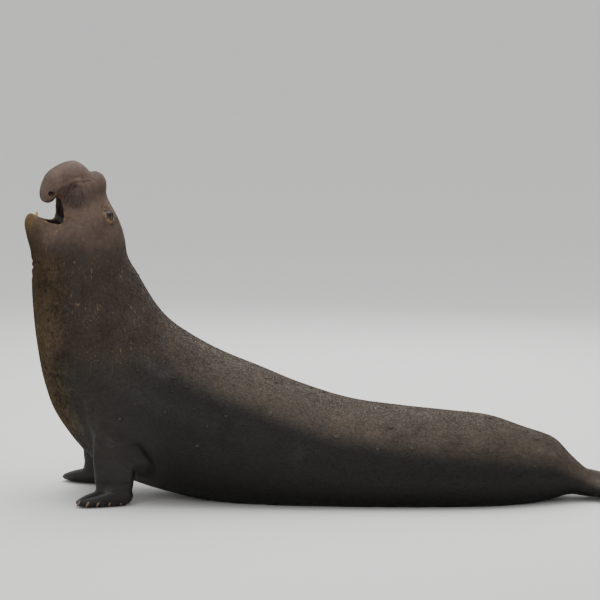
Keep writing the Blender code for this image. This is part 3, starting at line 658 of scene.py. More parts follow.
def from_stretch(points, a, b):
    """The way from a to b, and how each point lies off the straight stretch between them."""
    way = b - a
    t = np.clip((points - a) @ way / (way @ way), 0, 1)
    return way, points - a - t[:, None] * way


def near_path(points, path):
    """Distance of each point from a path of straight stretches."""
    path = np.array(path, float)
    nearest = np.full(len(points), np.inf)
    for a, b in zip(path, path[1:]):
        nearest = np.minimum(nearest, np.linalg.norm(from_stretch(points, a, b)[1], axis=1))
    return nearest


def fold(obj, all_folds):
    for one in all_folds:
        points, normals = points_of(obj), normals_of(obj)
        for side in each_side(one.both_sides):
            path = [(x, y * side, z) for x, y, z in one.path]
            weight = ease(1 - near_path(points, path) / one.radius)
            points = points + normals * (one.depth * weight)[:, None]
        set_points(obj, points)


fold(body, BROAD_FOLDS)
soften(body, 2)
print("broad folds", len(BROAD_FOLDS))

# %% Finer net on the face and the flippers
def finer(obj, chosen):
    """Splits each face whose middle is chosen into four."""
    mesh = obj.data
    flags = chosen(read(mesh.polygons, "center", 3))
    only(obj)
    bpy.context.tool_settings.mesh_select_mode = (False, False, True)
    mesh.vertices.foreach_set("select", np.zeros(len(mesh.vertices), bool))
    mesh.edges.foreach_set("select", np.zeros(len(mesh.edges), bool))
    mesh.polygons.foreach_set("select", flags)
    bpy.ops.object.mode_set(mode="EDIT")
    bpy.ops.mesh.subdivide(number_cuts=1, smoothness=0.0)
    bpy.ops.object.mode_set(mode="OBJECT")
    return obj


def on_the_face(m):
    return (m[:, 2] > 1.300) & (m[:, 0] < -1.17)


finer(body, on_the_face)
x, _, z = points_of(body).T
soften(body, 3, 1.0, above(z, 1.29, 0.03) * (x < -1.16))
print("denser face:", len(body.data.vertices), "points")

# %% [markdown]
# ## Eyelids
#
# A seal's eye is a big ball close under the skin. The lids lie on it and leave a slit between
# them. Each point near the eye is measured in the lids' own directions: along the slit, across
# it and outwards. Inside the slit the skin goes behind the ball; at its edge it stands a little
# over the ball, as thick as a lid; further out it runs back into the face.

# %% Lids
SLIT_HALF_LENGTH, SLIT_HALF_HEIGHT, SLIT_POINTED = 0.0290, 0.0185, 1.55
LID_THICKNESS, LID_SINK, BEHIND_BALL = 0.0046, 0.0010, 0.0035
LIDS_REACH, SNAP_TO_EDGE = 0.075, 0.075
SLIT_WAY = Vector((0.50, 0, -0.87))


def eye_directions(side):
    centre = np.array(EYE_CENTRE) * (1, side, 1)
    facing = np.array(eye_facing) * (1, side, 1)
    long_way = np.array(SLIT_WAY)
    long_way = long_way - facing * (long_way @ facing)
    long_way /= np.linalg.norm(long_way)
    return centre, long_way, np.cross(facing, long_way), facing


def slit_ring(u, v):
    """1 on the edge of the slit, less inside it; the slit is pointed at both ends."""
    u, v = np.abs(u / SLIT_HALF_LENGTH), np.abs(v / SLIT_HALF_HEIGHT)
    return (u**SLIT_POINTED + v**SLIT_POINTED) ** (1 / SLIT_POINTED)


def lids(obj):
    points = points_of(obj)
    for side in (1, -1):
        centre, long_way, short_way, facing = eye_directions(side)
        away = points - centre
        u, v, w = away @ long_way, away @ short_way, away @ facing
        near = (w > -0.010) & (np.hypot(u, v) < LIDS_REACH)
        u, v, w = u[near], v[near], w[near]
        ring = slit_ring(u, v) + 1e-9
        snapped = np.where(np.abs(ring - 1) < SNAP_TO_EDGE, 1 / ring, 1.0)
        u, v, ring = u * snapped, v * snapped, ring * snapped
        flat = np.minimum(u * u + v * v, (EYE_RADIUS * 0.97) ** 2)
        ball = np.sqrt(EYE_RADIUS**2 - flat)
        edge = above(ring, 0.90, 0.14)
        lid = ball - BEHIND_BALL + (BEHIND_BALL + LID_THICKNESS) * edge
        lid -= LID_SINK * above(ring, 1.10, 0.35)
        outwards = above(ring, 1.32, 0.75)
        height = lid * (1 - outwards) + w * outwards
        points[near] = centre + np.outer(u, long_way) + np.outer(v, short_way) + np.outer(height, facing)
    set_points(obj, points)


lids(body)
print("lids", SLIT_HALF_LENGTH * 2000, "mm long")

# %% Fine folds of the face and throat
FINE_FOLDS = folds(
    # The crease over the whisker pad, and the pad's own swell.
    (((-1440, -114, 1625), (-1456, -114, 1605), (-1466, -106, 1578), (-1486, -90, 1556)), 20, -6),
    (((-1416, -117, 1593), (-1436, -114, 1580)), 16, -3),
    # Wrinkles that run down the whisker pad.
    (((-1450, -122, 1560), (-1454, -133, 1535), (-1455, -138, 1500)), 7, -2.6),
    (((-1436, -118, 1572), (-1441, -137, 1536), (-1443, -145, 1487)), 7, -2.8),
    (((-1421, -115, 1583), (-1427, -145, 1536), (-1429, -152, 1487)), 7, -2.8),
    (((-1407, -122, 1584), (-1414, -146, 1536), (-1416, -154, 1484)), 7, -2.6),
    (((-1392, -130, 1580), (-1400, -146, 1536), (-1402, -156, 1490)), 7, -2.2),
    (((-1376, -132, 1576), (-1384, -145, 1534), (-1386, -154, 1496)), 7, -1.8),
    # Rolls along the flank of the nose, towards the brow.
    (((-1470, -112, 1600), (-1431, -122, 1622), (-1385, -120, 1630)), 12, -3.2),
    (((-1462, -112, 1585), (-1425, -122, 1607), (-1372, -126, 1612)), 12, 2.6),
    (((-1412, -122, 1600), (-1372, -125, 1600), (-1340, -118, 1606)), 11, -3),
    (((-1360, -118, 1630), (-1330, -112, 1622), (-1312, -110, 1606)), 12, -3),
    # Rings round the tip of the nose.
    (((-1552, 0, 1605), (-1540, -75, 1600), (-1528, -100, 1580)), 10, -1.4),
    (((-1530, 0, 1640), (-1516, -80, 1630), (-1505, -108, 1600)), 10, -1.2),
    # The upper lip's edge beside the mouth, and the corner of the mouth.
    (((-1462, -120, 1470), (-1462, -118, 1440), (-1474, -116, 1414)), 10, 1.8),
    (((-1452, -140, 1424), (-1425, -160, 1400), (-1385, -175, 1385)), 14, -2),
    # Below the eye and behind it.
    (((-1292, -135, 1470), (-1270, -125, 1492), (-1240, -118, 1480)), 11, -2),
    # The near lip dips behind the chin.
    (((-1598, -76, 1440), (-1570, -100, 1434)), 22, -8.5, False),
    # Creases at the throat.
    (((-1622, 0, 1196), (-1600, -100, 1192), (-1548, -175, 1208)), 13, -5.2),
    (((-1620, 0, 1168), (-1598, -105, 1160), (-1530, -190, 1172)), 14, -6),
    (((-1560, -150, 1216), (-1520, -186, 1224), (-1470, -205, 1240)), 12, -4.6),
    (((-1615, 0, 1120), (-1585, -130, 1112), (-1520, -200, 1118)), 16, -3),
)
FLIPPER_FOLDS = folds(
    (((-1282, -305, 303), (-1172, -346, 267), (-1108, -326, 218)), 18, -5),
    (((-1216, -332, 352), (-1122, -339, 283), (-1079, -319, 242)), 20, -3),
    (((-1280, -310, 118), (-1200, -335, 108), (-1110, -310, 112)), 16, -2.5),
    (((-1262, -320, 378), (-1180, -345, 352), (-1108, -335, 285), (-1085, -320, 205)), 11, -2.2),
    (((-1275, -310, 338), (-1190, -345, 314), (-1128, -335, 248)), 10, -3.2),
    (((-1262, -310, 268), (-1170, -340, 236), (-1118, -330, 186)), 10, -2.8),
    (((948, -183, 262), (1026, -147, 235), (1105, -80, 195)), 50, 6),
)
fold(body, FINE_FOLDS + FLIPPER_FOLDS)
print("fine folds", len(FINE_FOLDS) + len(FLIPPER_FOLDS))

# %% [markdown]
# ## Thinning, and a memory of where things are
#
# The fused net is far denser than the smooth trunk needs, so faces are given where the form asks
# for them: many on the face, fewer on the limbs, fewest on the trunk. After that each point gets
# a few numbers that say what it is: inside of the mouth, lip, eyelid, golden fuzz, wet, and where
# shade is painted down the flank, under the body and over the whisker pad. Skin and fur both read
# these numbers, so that they carry the same markings.

# %% Thinning by region
# For the trunk, the neck, the limbs and the face.
MOST_TRIANGLES = (40000, 20000, 34000, 88000)
FUR_DEPTH = 0.0022


def region_of(points):
    face = (points[:, 2] > 1.285) & (points[:, 0] < -1.16)
    limb = (points[:, 2] < 0.42) & ((points[:, 0] < -1.02) | (points[:, 0] > 1.12))
    neck = (points[:, 2] > 1.0) & ~face
    return np.select([face, limb, neck], [3, 2, 1], 0)


def triangle_count(obj, inside):
    faces, loops = obj.data.polygons, read(obj.data.loops, "vertex_index", kind=np.int32)
    triangles = read(faces, "loop_total", kind=np.int32) - 2
    first = loops[read(faces, "loop_start", kind=np.int32)]
    return triangles[inside[first]].sum(), triangles.sum()


def thin(obj, region, count):
    inside = region_of(points_of(obj)) == region
    here, everything = triangle_count(obj, inside)
    if here <= count:
        return
    step = obj.modifiers.new("thin", "DECIMATE")
    step.vertex_group = weigh(obj, inside.astype(float), levels=1).name
    step.ratio = (everything - here + count) / everything
    finish_steps(obj)
    obj.vertex_groups.clear()


for region, count in enumerate(MOST_TRIANGLES):
    thin(body, region, count)
# The skin sinks by the depth of the fur, but not at the lids.
eyes = np.array([EYE_CENTRE, np.array(EYE_CENTRE) * (1, -1, 1)])
from_eyes = np.min([np.linalg.norm(points_of(body) - eye, axis=1) for eye in eyes], axis=0)
set_points(body, points_of(body) - normals_of(body) * (FUR_DEPTH * above(from_eyes, 0.042, 0.035))[:, None])
print("thinned:", triangle_count(body, np.ones(len(body.data.vertices), bool))[1], "triangles")

# %% What each point of the skin is


def from_surface(points, form):
    """Distance of each point from another form's surface."""
    found = BVHTree.FromObject(form, bpy.context.evaluated_depsgraph_get())
    return np.array([found.find_nearest(Vector(p))[3] for p in points])


def remember(obj, name, values):
    mark = obj.data.attributes.new(name, "FLOAT", "POINT")
    mark.data.foreach_set("value", np.asarray(values, np.float32))


def mouth_marks(points):
    """Lining of the mouth and rim of the lips, from how near both forms of the mouth are."""
    lining, lips = np.zeros(len(points)), np.zeros(len(points))
    x, y, z = points.T
    near = (z > 1.28) & (x < -1.30)
    to_hollow, to_skin = from_surface(points[near], inner), from_surface(points[near], outer)
    lining[near] = above(to_skin, 0.0045, 0.010) * below(to_hollow, 0.016, 0.006)
    lining *= ease((x + 1.520) / 0.030 + below(z, 1.48, 0.03))
    lips[near] = below(to_hollow, 0.024, 0.014) * below(to_skin, 0.014, 0.008)
    return lining, lips


def eye_marks(points):
    rim, around = np.zeros(len(points)), np.zeros(len(points))
    for side in (1, -1):
        centre, long_way, short_way, facing = eye_directions(side)
        away = points - centre
        ring = slit_ring(away @ long_way, away @ short_way)
        front = away @ facing > -0.01
        rim = np.maximum(rim, front * below(ring, 1.28, 0.16))
        around = np.maximum(around, front * below(ring, 2.0, 0.7) * above(ring, 1.08, 0.16))
    return rim, around


def profile(points):
    """How far a point is from the back (0) to the belly (1)."""
    x, z = points[:, 0], points[:, 2]
    back = np.interp(x, *np.array([ring.back for ring in TRUNK[-8::-1]]).T)
    return np.clip((back - z) / np.maximum(back, 0.05), 0, 1)


def mark_all(obj):
    points = points_of(obj)
    x, y, z = points.T
    lining, lips = mouth_marks(points)
    rim, around = eye_marks(points)
    chin_edge = 0.60 * below(x, -1.592, 0.052) * above(z, 1.320, 0.090) * below(z, 1.475, 0.02)
    # The chest in front is golden, and the chin, and weakly the muzzle.
    front = np.interp(z, *np.array([ring.belly[::-1] for ring in TRUNK[14:23]]).T)
    chest_front = below(x, front + 0.205, 0.19)
    chest = chest_front * above(z, 0.12, 0.42) * below(z, 1.34, 0.16)
    chin = 0.9 * below(x, -1.545, 0.08) * above(z, 1.15, 0.10) * below(z, 1.49, 0.04)
    muzzle = np.exp(-(((x + 1.372) / 0.055) ** 2) - ((z - 1.632) / 0.030) ** 2)
    muzzle = 0.45 * muzzle * above(np.abs(y), 0.07, 0.03)
    # The trunk behind the arms is wet and painted in shade below; in front of them both follow the height.
    down = profile(points)
    stretch = above(x, -1.12, 0.30)
    wet_shaded_body = ease((down - 0.05) / np.interp(x, (-0.5, 0.5), (0.37, 0.66)))
    wet_shaded_front = below(z, 0.95, 0.50) * 0.9 * (1 - 0.6 * chest_front)
    # Painted shade: under the hanging nose, over the whisker pad, and between the muzzle and the eye.
    pad = ease((1.15 - np.hypot((x + 1.425) / 0.064, (z - 1.534) / 0.070)) / 0.55)
    hollow = 0.5 * ease((1.2 - np.hypot((x + 1.315) / 0.085, (z - 1.540) / 0.045)) / 0.8)
    marks = {
        "lining": lining,
        "lips": np.maximum(lips, chin_edge * (1 - lining)),
        "eye_rim": rim,
        "eye_glow": around,
        # Wet hide and painted shade together, darker from the back down towards the belly.
        "wet": stretch * wet_shaded_body + (1 - stretch) * wet_shaded_front,
        "fuzz": np.maximum(np.maximum(chest, chin), muzzle),
        # Painted shade over dark wet hide: under the belly, and low in front by the fore flippers.
        "under": stretch * above(down, 0.38, 0.42) + (1 - stretch) * 0.55 * below(z, 0.34, 0.30),
        "hands": below(x, -0.90, 0.20) * below(z, 0.30, 0.16),
        "pad": above(np.abs(y), 0.055, 0.02) * np.maximum(pad, hollow) * (1 - lining),
    }
    for name, values in marks.items():
        remember(obj, name, values)
    return tuple(marks)


MARKS = mark_all(body)
for form in (outer, inner):
    bpy.data.objects.remove(form)
print("marks:", MARKS)

# %% [markdown]
# ## Pose
#
# Now the head turns a little towards the viewer, the chest sways to the far side and the hips to
# the near side. The solids were also moved so that they stand over the middle of the floor; how
# far is read from where their eyes and their belly lie. Every piece made so far and later goes
# through the same step.

# %% Pose
CHEST_SWAY, HIPS_SWAY = 0.060, -0.030
SWAY_FROM_X, SWAY_TO_X = -1.10, 1.00
HEAD_TURN = math.radians(14)
TURN_FROM_Z, TURN_TO_Z, TURN_AHEAD_OF_X = 0.65, 1.18, (-0.6, 0.5)
SOLE_Z, ON_FLOOR_Z = 0.0045, 0.0004
NECK_AXIS_X = -1.37
BELLY_FROM_X = -0.560


def posed(points):
    turn = HEAD_TURN * above(points[:, 2], TURN_FROM_Z, TURN_TO_Z - TURN_FROM_Z)
    turn = turn * below(points[:, 0], *TURN_AHEAD_OF_X)
    x, y = points[:, 0] - NECK_AXIS_X, points[:, 1]
    turned_x = NECK_AXIS_X + x * np.cos(turn) - y * np.sin(turn)
    turned_y = x * np.sin(turn) + y * np.cos(turn)
    share = above(turned_x, SWAY_FROM_X, SWAY_TO_X - SWAY_FROM_X)
    swayed_y = turned_y + CHEST_SWAY + (HIPS_SWAY - CHEST_SWAY) * share
    return np.stack([turned_x, swayed_y, points[:, 2]], axis=1)


def moved_by():
    """How far the solids were moved over the floor's middle."""
    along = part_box("belly")[0][0] - BELLY_FROM_X
    eyes = [(np.array(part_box(n)[0]) + np.array(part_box(n)[1])) / 2 for n in ("eye_left", "eye_right")]
    middle = posed(np.array([(EYE_CENTRE[0], 0.0, EYE_CENTRE[2])]))[0]
    return np.array([along, (eyes[0][1] + eyes[1][1]) / 2 - middle[1], 0.0])


MOVED_BY = moved_by()


def take_pose(obj):
    set_points(obj, posed(points_of(obj)) + MOVED_BY)
    return obj


def rest_on_floor(obj):
    points = points_of(obj)
    points[:, 2] = np.where(points[:, 2] < SOLE_Z, ON_FLOOR_Z, points[:, 2])
    set_points(obj, points)


straight_points = points_of(body)
take_pose(body)
rest_on_floor(body)
smooth(body)
print("solids were moved by", np.round(MOVED_BY, 4))

# %% [markdown]
# ## Writing a material
#
# A material is a sum of patterns, and a sum is easiest to read as one. This small class lets
# numbers and colours that flow between nodes be added, multiplied and mixed as in plain Python.

# %% Node values as Python values
def fill(socket, value):
    """Links a value that flows, or sets one that stays the same."""
    if isinstance(value, Flow):
        value.tree.links.new(value.socket, socket)
    else:
        socket.default_value = value


class Flow:
    """A socket that does arithmetic."""

    def __init__(self, tree, socket):
        self.tree, self.socket = tree, socket

    def node(self, kind, settings=None, out=0, **values):
        """Any node: its settings first, then its sockets' values or links."""
        made = self.tree.nodes.new(kind)
        for name, value in (settings or {}).items():
            setattr(made, name, value)
        for name, value in values.items():
            numbered = name[0] == "i" and name[1:].isdigit()
            fill(made.inputs[int(name[1:]) if numbered else name.replace("_", " ")], value)
        return Flow(self.tree, made.outputs[out])

    def math(self, operation, *values):
        inputs = {f"i{i}": value for i, value in enumerate(values)}
        return self.node("ShaderNodeMath", {"operation": operation}, **inputs)

    def __add__(self, other):
        return self.math("ADD", self, other)

    def __sub__(self, other):
        return self.math("SUBTRACT", self, other)

    def __rsub__(self, other):
        return self.math("SUBTRACT", other, self)

    def __mul__(self, other):
        return self.math("MULTIPLY", self, other)

    __radd__, __rmul__ = __add__, __mul__

    def between(self, low, high):
        """0 below low, 1 above high, soft in between."""
        settings = {"interpolation_type": "SMOOTHSTEP"}
        return self.node("ShaderNodeMapRange", settings, Value=self, From_Min=low, From_Max=high)

    def mix(self, one, two, how="MIX"):
        """From colour one to colour two by this value."""
        settings = {"data_type": "RGBA", "blend_type": how}
        return self.node("ShaderNodeMix", settings, out=2, i0=self, i6=rgba(one), i7=rgba(two))

    def times(self, other):
        """This colour multiplied by another one."""
        settings = {"data_type": "RGBA", "blend_type": "MULTIPLY"}
        return self.node("ShaderNodeMix", settings, out=2, i0=1.0, i6=self, i7=other)

    def scaled(self, x, y, z):
        return self.node("ShaderNodeVectorMath", {"operation": "MULTIPLY"}, i0=self, i1=(x, y, z))

    def part(self, which):
        """The x (0), y (1) or z (2) of a place."""
        return self.node("ShaderNodeSeparateXYZ", None, out=which, Vector=self)

    def bump(self, strength, distance):
        return self.node("ShaderNodeBump", None, Height=self, Strength=strength, Distance=distance)

    def noise(self, scale, detail=3.0, rough=0.55):
        return self.node("ShaderNodeTexNoise", None, Vector=self, Scale=scale, Detail=detail, Roughness=rough)

    def cells(self, scale):
        return self.node("ShaderNodeTexVoronoi", None, Vector=self, Scale=scale)


def rgba(colour):
    return colour if isinstance(colour, Flow) else (*colour[:3], 1.0)


def new_matter(name, coat=0.0, coat_roughness=0.1, specular=0.5):
    """A material with a Principled shader; returns it, its shader and the places in space."""
    matter = bpy.data.materials.new(name)
    matter.use_nodes = True
    tree = matter.node_tree
    shader = tree.nodes["Principled BSDF"]
    feed(shader, Coat_Weight=coat, Coat_Roughness=coat_roughness, Specular_IOR_Level=specular)
    space = Flow(tree, tree.nodes.new("ShaderNodeTexCoord").outputs["Object"])
    return matter, shader, space


def mark(space, name):
    return space.node("ShaderNodeAttribute", {"attribute_name": name}, out=2)


def feed(shader, **values):
    for name, value in values.items():
        fill(shader.inputs[name.replace("_", " ")], value)


print("material helpers ready")

# %% [markdown]
# ## Hide
#
# A moulted seal's coat is short and flat. Dry, on the back and the head, it is a dull taupe; down
# the neck it gets darker, and wet, on the flank and belly, it turns nearly black and shines. The
# darkening down the flank and the near-black underside are also painted shade. The chest, the
# chin, the lips and the eyelids have a golden fuzz. Old scratches run down the neck as small tan
# flecks. Each of these is one pattern on the object's own coordinates, laid over the last, and the
# fur that grows on the skin later carries the very same patterns.

# %% Hide
HEAD_TAUPE, DRY_BACK, DRY_NECK = (0.096, 0.066, 0.051), (0.060, 0.047, 0.036), (0.034, 0.0245, 0.0190)
# The flank's and the underside's colours hold painted shade as well as dark wet hide.
SHOULDER, WET_AND_SHADED_DARK, SHADED_UNDERSIDE = (0.018, 0.0150, 0.0120), (0.0090, 0.0076, 0.0068), (0.0030, 0.0024, 0.0020)
THROAT_GOLD, CHEST_GOLD = (0.080, 0.055, 0.029), (0.128, 0.093, 0.053)
TAN, LIP_GOLD = (0.190, 0.125, 0.068), (0.270, 0.172, 0.072)
MOUTH_DARK, GUM_RED = (0.014, 0.0085, 0.0075), (0.130, 0.030, 0.022)
HAND_DARK, RIM_DARK, PLEAT_PALE = (0.0125, 0.0102, 0.0080), (0.012, 0.009, 0.008), (0.052, 0.036, 0.032)
# A painted highlight for the tops of the knots.
KNOT_TOP_HIGHLIGHT = (0.056, 0.047, 0.039)


def hide_matter(name, fur=0.0, lit_tops=0.0):
    matter, shader, space = new_matter(name, coat_roughness=0.20, specular=0.16 - 0.05 * fur)
    wet, fuzz, lining, lips = (mark(space, n) for n in ("wet", "fuzz", "lining", "lips"))
    rim, glow, under, hands, pad = (mark(space, n) for n in ("eye_rim", "eye_glow", "under", "hands", "pad"))
    height = space.part(2)
    along = space.part(0)
    broad = space.noise(2.6, 4.0)
    patch = space.noise(9.0, 4.0, 0.6)
    mottle = space.noise(46.0, 5.0, 0.65)
    speck = space.noise(210.0, 4.0, 0.7)
    # The head, the neck and the shoulders, from the top down.
    colour = (height + (broad - 0.5) * 0.22).between(1.20, 1.44).mix(DRY_NECK, HEAD_TAUPE)
    colour = ((height + (broad - 0.5) * 0.30).between(0.90, 0.58)).mix(colour, SHOULDER)
    # The back, the flank and the belly. Wet hide and painted shade darken the flank towards the belly,
    # and the underside and the low front by the fore flippers get near-black painted shade.
    colour = (along + (patch - 0.5) * 0.16).between(-1.12, -0.55).mix(colour, DRY_BACK)
    wet_and_shaded = (wet + (broad - 0.5) * 0.34 + (patch - 0.5) * 0.14).between(0.12, 0.86)
    colour = (wet_and_shaded * along.between(-1.35, -0.85)).mix(colour, WET_AND_SHADED_DARK)
    colour = (under * 0.92).mix(colour, SHADED_UNDERSIDE)
    colour = (hands * 0.85).mix(colour, HAND_DARK)
    # Soft patches and a fine grain, lighter and darker; then painted shade under the nose and over
    # the whisker pad, deepest in its wrinkles.
    wrinkles = space.scaled(1.0, 1.0, 0.20).noise(130.0, 3.0, 0.55)
    for share, tint in (
        (patch.between(0.50, 0.72) * (0.34 - 0.22 * wet_and_shaded), (1.75, 1.70, 1.62)),
        (patch.between(0.50, 0.30) * 0.50, (0.52, 0.50, 0.50)),
        (mottle.between(0.48, 0.70) * 0.30, (1.55, 1.48, 1.38)),
        (mottle.between(0.50, 0.30) * 0.42, (0.60, 0.58, 0.57)),
        (speck.between(0.54, 0.74) * 0.34, (1.7, 1.6, 1.5)),
        (pad * (0.54 + 0.46 * wrinkles.between(0.62, 0.36)), (0.34, 0.33, 0.33)),
    ):
        colour = share.mix(colour, tint, "MULTIPLY")
    if fur:
        shade = (mark(space, "shade") - 0.5) * (1.0 - 0.8 * wet_and_shaded) + 0.5
        colour = shade.mix((0.84, 0.84, 0.84), (1.22, 1.20, 1.16)).times(colour)
    # Painted highlight: each knot is lighter towards its top.
    if lit_tops:
        colour = (mark(space, "tip") * 0.55 * lit_tops).mix(colour, KNOT_TOP_HIGHLIGHT)
    # Golden fuzz, with the dark skin showing through in fine mottles.
    gold = (fuzz + (patch - 0.5) * 0.7 + (broad - 0.5) * 0.8).between(0.10, 0.95) * fuzz.between(0.0, 0.25)
    gold = gold * (patch * 0.5 + mottle).between(0.40, 1.00)
    colour = (gold * 0.82).mix(colour, height.between(1.15, 0.80).mix(THROAT_GOLD, CHEST_GOLD))
    # Tan flecks down the neck, and a few scars.
    flecks = space.scaled(1.0, 1.0, 0.26).noise(125.0, 2.0, 0.45).between(0.622, 0.690)
    flecks = flecks * patch.between(0.42, 0.60) * height.between(0.60, 0.85)
    flecks = flecks * height.between(1.53, 1.46) * (1 - lining)
    colour = (flecks * 0.50).mix(colour, TAN)
    cell = space.cells(9.0)
    scars = cell.between(0.070, 0.040) * space.noise(4.3, 2.0).between(0.50, 0.60)
    colour = (scars * (0.45 - 0.20 * wet_and_shaded)).mix(colour, TAN)
    # Lips, eyelids and the inside of the mouth.
    colour = (glow * 0.90 * (mottle + patch * 0.5).between(0.58, 0.84)).mix(colour, LIP_GOLD)
    colour = (lips * 0.80 * (mottle + patch * 0.5).between(0.62, 0.86)).mix(colour, LIP_GOLD)
    colour = (rim * 0.94).mix(colour, RIM_DARK)
    pleats = space.scaled(1.0, 1.0, 0.10).noise(75.0, 2.0, 0.5)
    gum = (height + (patch - 0.5) * 0.03).between(1.496, 1.516) * mottle.between(0.30, 0.50)
    inside = pleats.between(0.40, 0.62).mix(MOUTH_DARK, PLEAT_PALE)
    colour = lining.mix(colour, gum.mix(inside, GUM_RED))
    colour = (lips * height.between(1.500, 1.515) * 0.85).mix(colour, GUM_RED)
    rough = 0.66 - 0.22 * wet_and_shaded + 0.14 * (speck - 0.5) - 0.22 * lining - 0.16 * rim + 0.10 * fuzz
    rough = rough - 0.06 * hands + 0.14 * fur
    finest = space.noise(420.0, 3.0, 0.7)
    relief = mottle * 0.34 + speck * 0.34 + finest * 0.22 + scars * 0.8 + pleats * lining * 2.0
    bump = relief.bump(0.36, 0.0030)
    coat = wet_and_shaded * 0.14 + lining * 0.25 + hands * 0.22 + rim * 0.4
    feed(shader, Base_Color=colour, Roughness=rough, Coat_Weight=coat * (1.0 - 0.40 * fur), Normal=bump)
    return matter


hide = hide_matter("hide")
body.data.materials.clear()
body.data.materials.append(hide)
print("hide has", len(hide.node_tree.nodes), "nodes")

FLESH = (
    "head", "proboscis", "lower_jaw", "neck", "chest", "belly", "hindquarters", "rump", "tail",
    "fore_flipper_left", "fore_flipper_right", "hind_flipper_left", "hind_flipper_right",
)
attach(body, "root")
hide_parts(*FLESH)
print("the skin stands for", len(FLESH), "solids")

# %% [markdown]
# ## Eyes
#
# A seal's eye is large, nearly black and always wet. A ball with a slightly bulging clear front
# would be enough, but seen close it needs a dark brown iris with a black pupil in it and a reddish
# rim. The colours follow the angle from the way the eye looks, kept on each point of the ball.

# %% Eyeballs
CORNEA_BULGE, CORNEA_ANGLE, CORNEA_SOFT = 0.0012, 0.62, 0.5
BALL_GAP = 0.0004
BALL_RADIUS = EYE_RADIUS - BALL_GAP


def eyeball(side, name):
    centre, long_way, short_way, facing = eye_directions(side)
    bpy.ops.object.select_all(action="DESELECT")
    bpy.ops.mesh.primitive_uv_sphere_add(segments=72, ring_count=48, radius=BALL_RADIUS, location=(0, 0, 0))
    ball = bpy.context.object
    ball.name = ball.data.name = name
    local = points_of(ball)
    off_axis = np.arccos(np.clip(local[:, 2] / BALL_RADIUS, -1, 1))
    bulge = below(off_axis, CORNEA_ANGLE, CORNEA_SOFT)
    local *= (1 + CORNEA_BULGE / EYE_RADIUS * bulge)[:, None]
    set_points(ball, centre + local @ np.stack([long_way, short_way, facing]))
    remember(ball, "off_axis", off_axis)
    return take_pose(smooth(in_edit_mode(ball, TURN_OUTWARDS)))


def eye_matter():
    matter, shader, space = new_matter("wet eye", coat=0.35, coat_roughness=0.03, specular=0.12)
    off_axis = mark(space, "off_axis")
    fibres = space.noise(420.0, 2.0)
    iris = (off_axis + (fibres - 0.5) * 0.05).between(0.34, 0.42)
    white = (off_axis + (fibres - 0.5) * 0.06).between(0.86, 1.00)
    colour = iris.mix((0.003, 0.0025, 0.0025), (0.026, 0.015, 0.009))
    colour = (off_axis.between(0.66, 0.84) * 0.7).mix(colour, (0.008, 0.005, 0.004))
    colour = white.mix(colour, (0.060, 0.028, 0.020))
    feed(shader, Base_Color=colour, Roughness=0.12)
    return matter


wet_eye = eye_matter()
for side, name in ((1, "eyeball_left"), (-1, "eyeball_right")):
    ball = eyeball(side, name)
    ball.data.materials.append(wet_eye)
    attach(ball, "root")
    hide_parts(name.replace("ball", ""))
    print(name, "at", np.round(points_of(ball).mean(0), 3))

# %% [markdown]
# ## Tongue
#
# The tongue lies in the trough of the lower jaw, a thick pad with a shallow groove down the middle
# and a pebbled top. It is the same form as in the solids, on a denser net, pressed in along the
# middle.

# %% Tongue
TONGUE = rings(
    (-1385, 1366, -1385, 1310, 40, 2.0), (-1430, 1376, -1430, 1314, 50, 2.2),
    (-1490, 1380, -1490, 1320, 53, 2.3), (-1530, 1388, -1530, 1335, 43, 2.2),
    (-1554, 1392, -1554, 1360, 24, 2.0),
)
GROOVE = folds((((-1400, 0, 1372), (-1470, 0, 1381), (-1545, 0, 1392)), 18, -4, False))

tongue = body_tube("tongue_flesh", TONGUE, around=48, steps=12)
soften(tongue, 3)
fold(tongue, GROOVE)
take_pose(smooth(tongue))
matter, shader, space = new_matter("tongue", coat=0.5, coat_roughness=0.15, specular=0.5)
pebble = space.cells(260.0)
blotch = space.noise(24.0, 3.0)
colour = blotch.between(0.35, 0.7).mix((0.075, 0.030, 0.027), (0.150, 0.058, 0.050))
bump = (pebble * 0.6 + blotch * 0.4).bump(0.5, 0.002)
feed(shader, Base_Color=colour, Roughness=0.36 + 0.2 * pebble, Normal=bump)
tongue.data.materials.append(matter)
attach(tongue, "root")
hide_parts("tongue")
print("tongue", len(tongue.data.polygons), "faces")

# %% [markdown]
# ## Teeth and gums
#
# Bulls have heavy curved canines, stained orange at the tip, and small pegs behind them. Each
# tooth is a tapering spike smoothed by subdivision, set in a low collar of gum. It is given by
# its root, its tip and its radius in millimetres, and False keeps it to one side. The far lower
# canine stands up and is the one that shows; the near one is worn down, as in the picture.

# %% Teeth
Tooth = namedtuple("Tooth", "root tip radius both_sides", defaults=(True,))


def teeth_of(*rows):
    return [Tooth(*metres(row[:3]), *row[3:]) for row in rows]


LOWER_TEETH = teeth_of(
    ((-1581, 46, 1385), (-1579, 47, 1444), 10, False),
    ((-1580, -46, 1375), (-1578, -47, 1412), 9.5, False),
    ((-1592, -16, 1385), (-1592, -16, 1420), 6),
    ((-1554, -76, 1365), (-1553, -76, 1396), 7),
    ((-1528, -88, 1355), (-1527, -88, 1388), 7),
)
UPPER_TEETH = teeth_of(
    ((-1422, -58, 1510), (-1450, -60, 1503), 9),
    ((-1428, -20, 1512), (-1447, -20, 1507), 5.5),
    ((-1412, -84, 1476), (-1441, -84, 1472), 6),
    ((-1410, -88, 1448), (-1439, -88, 1444), 6),
)
CANINE_RADIUS, CANINE_BOW, PEG_BOW = 0.009, 0.6, 0.2


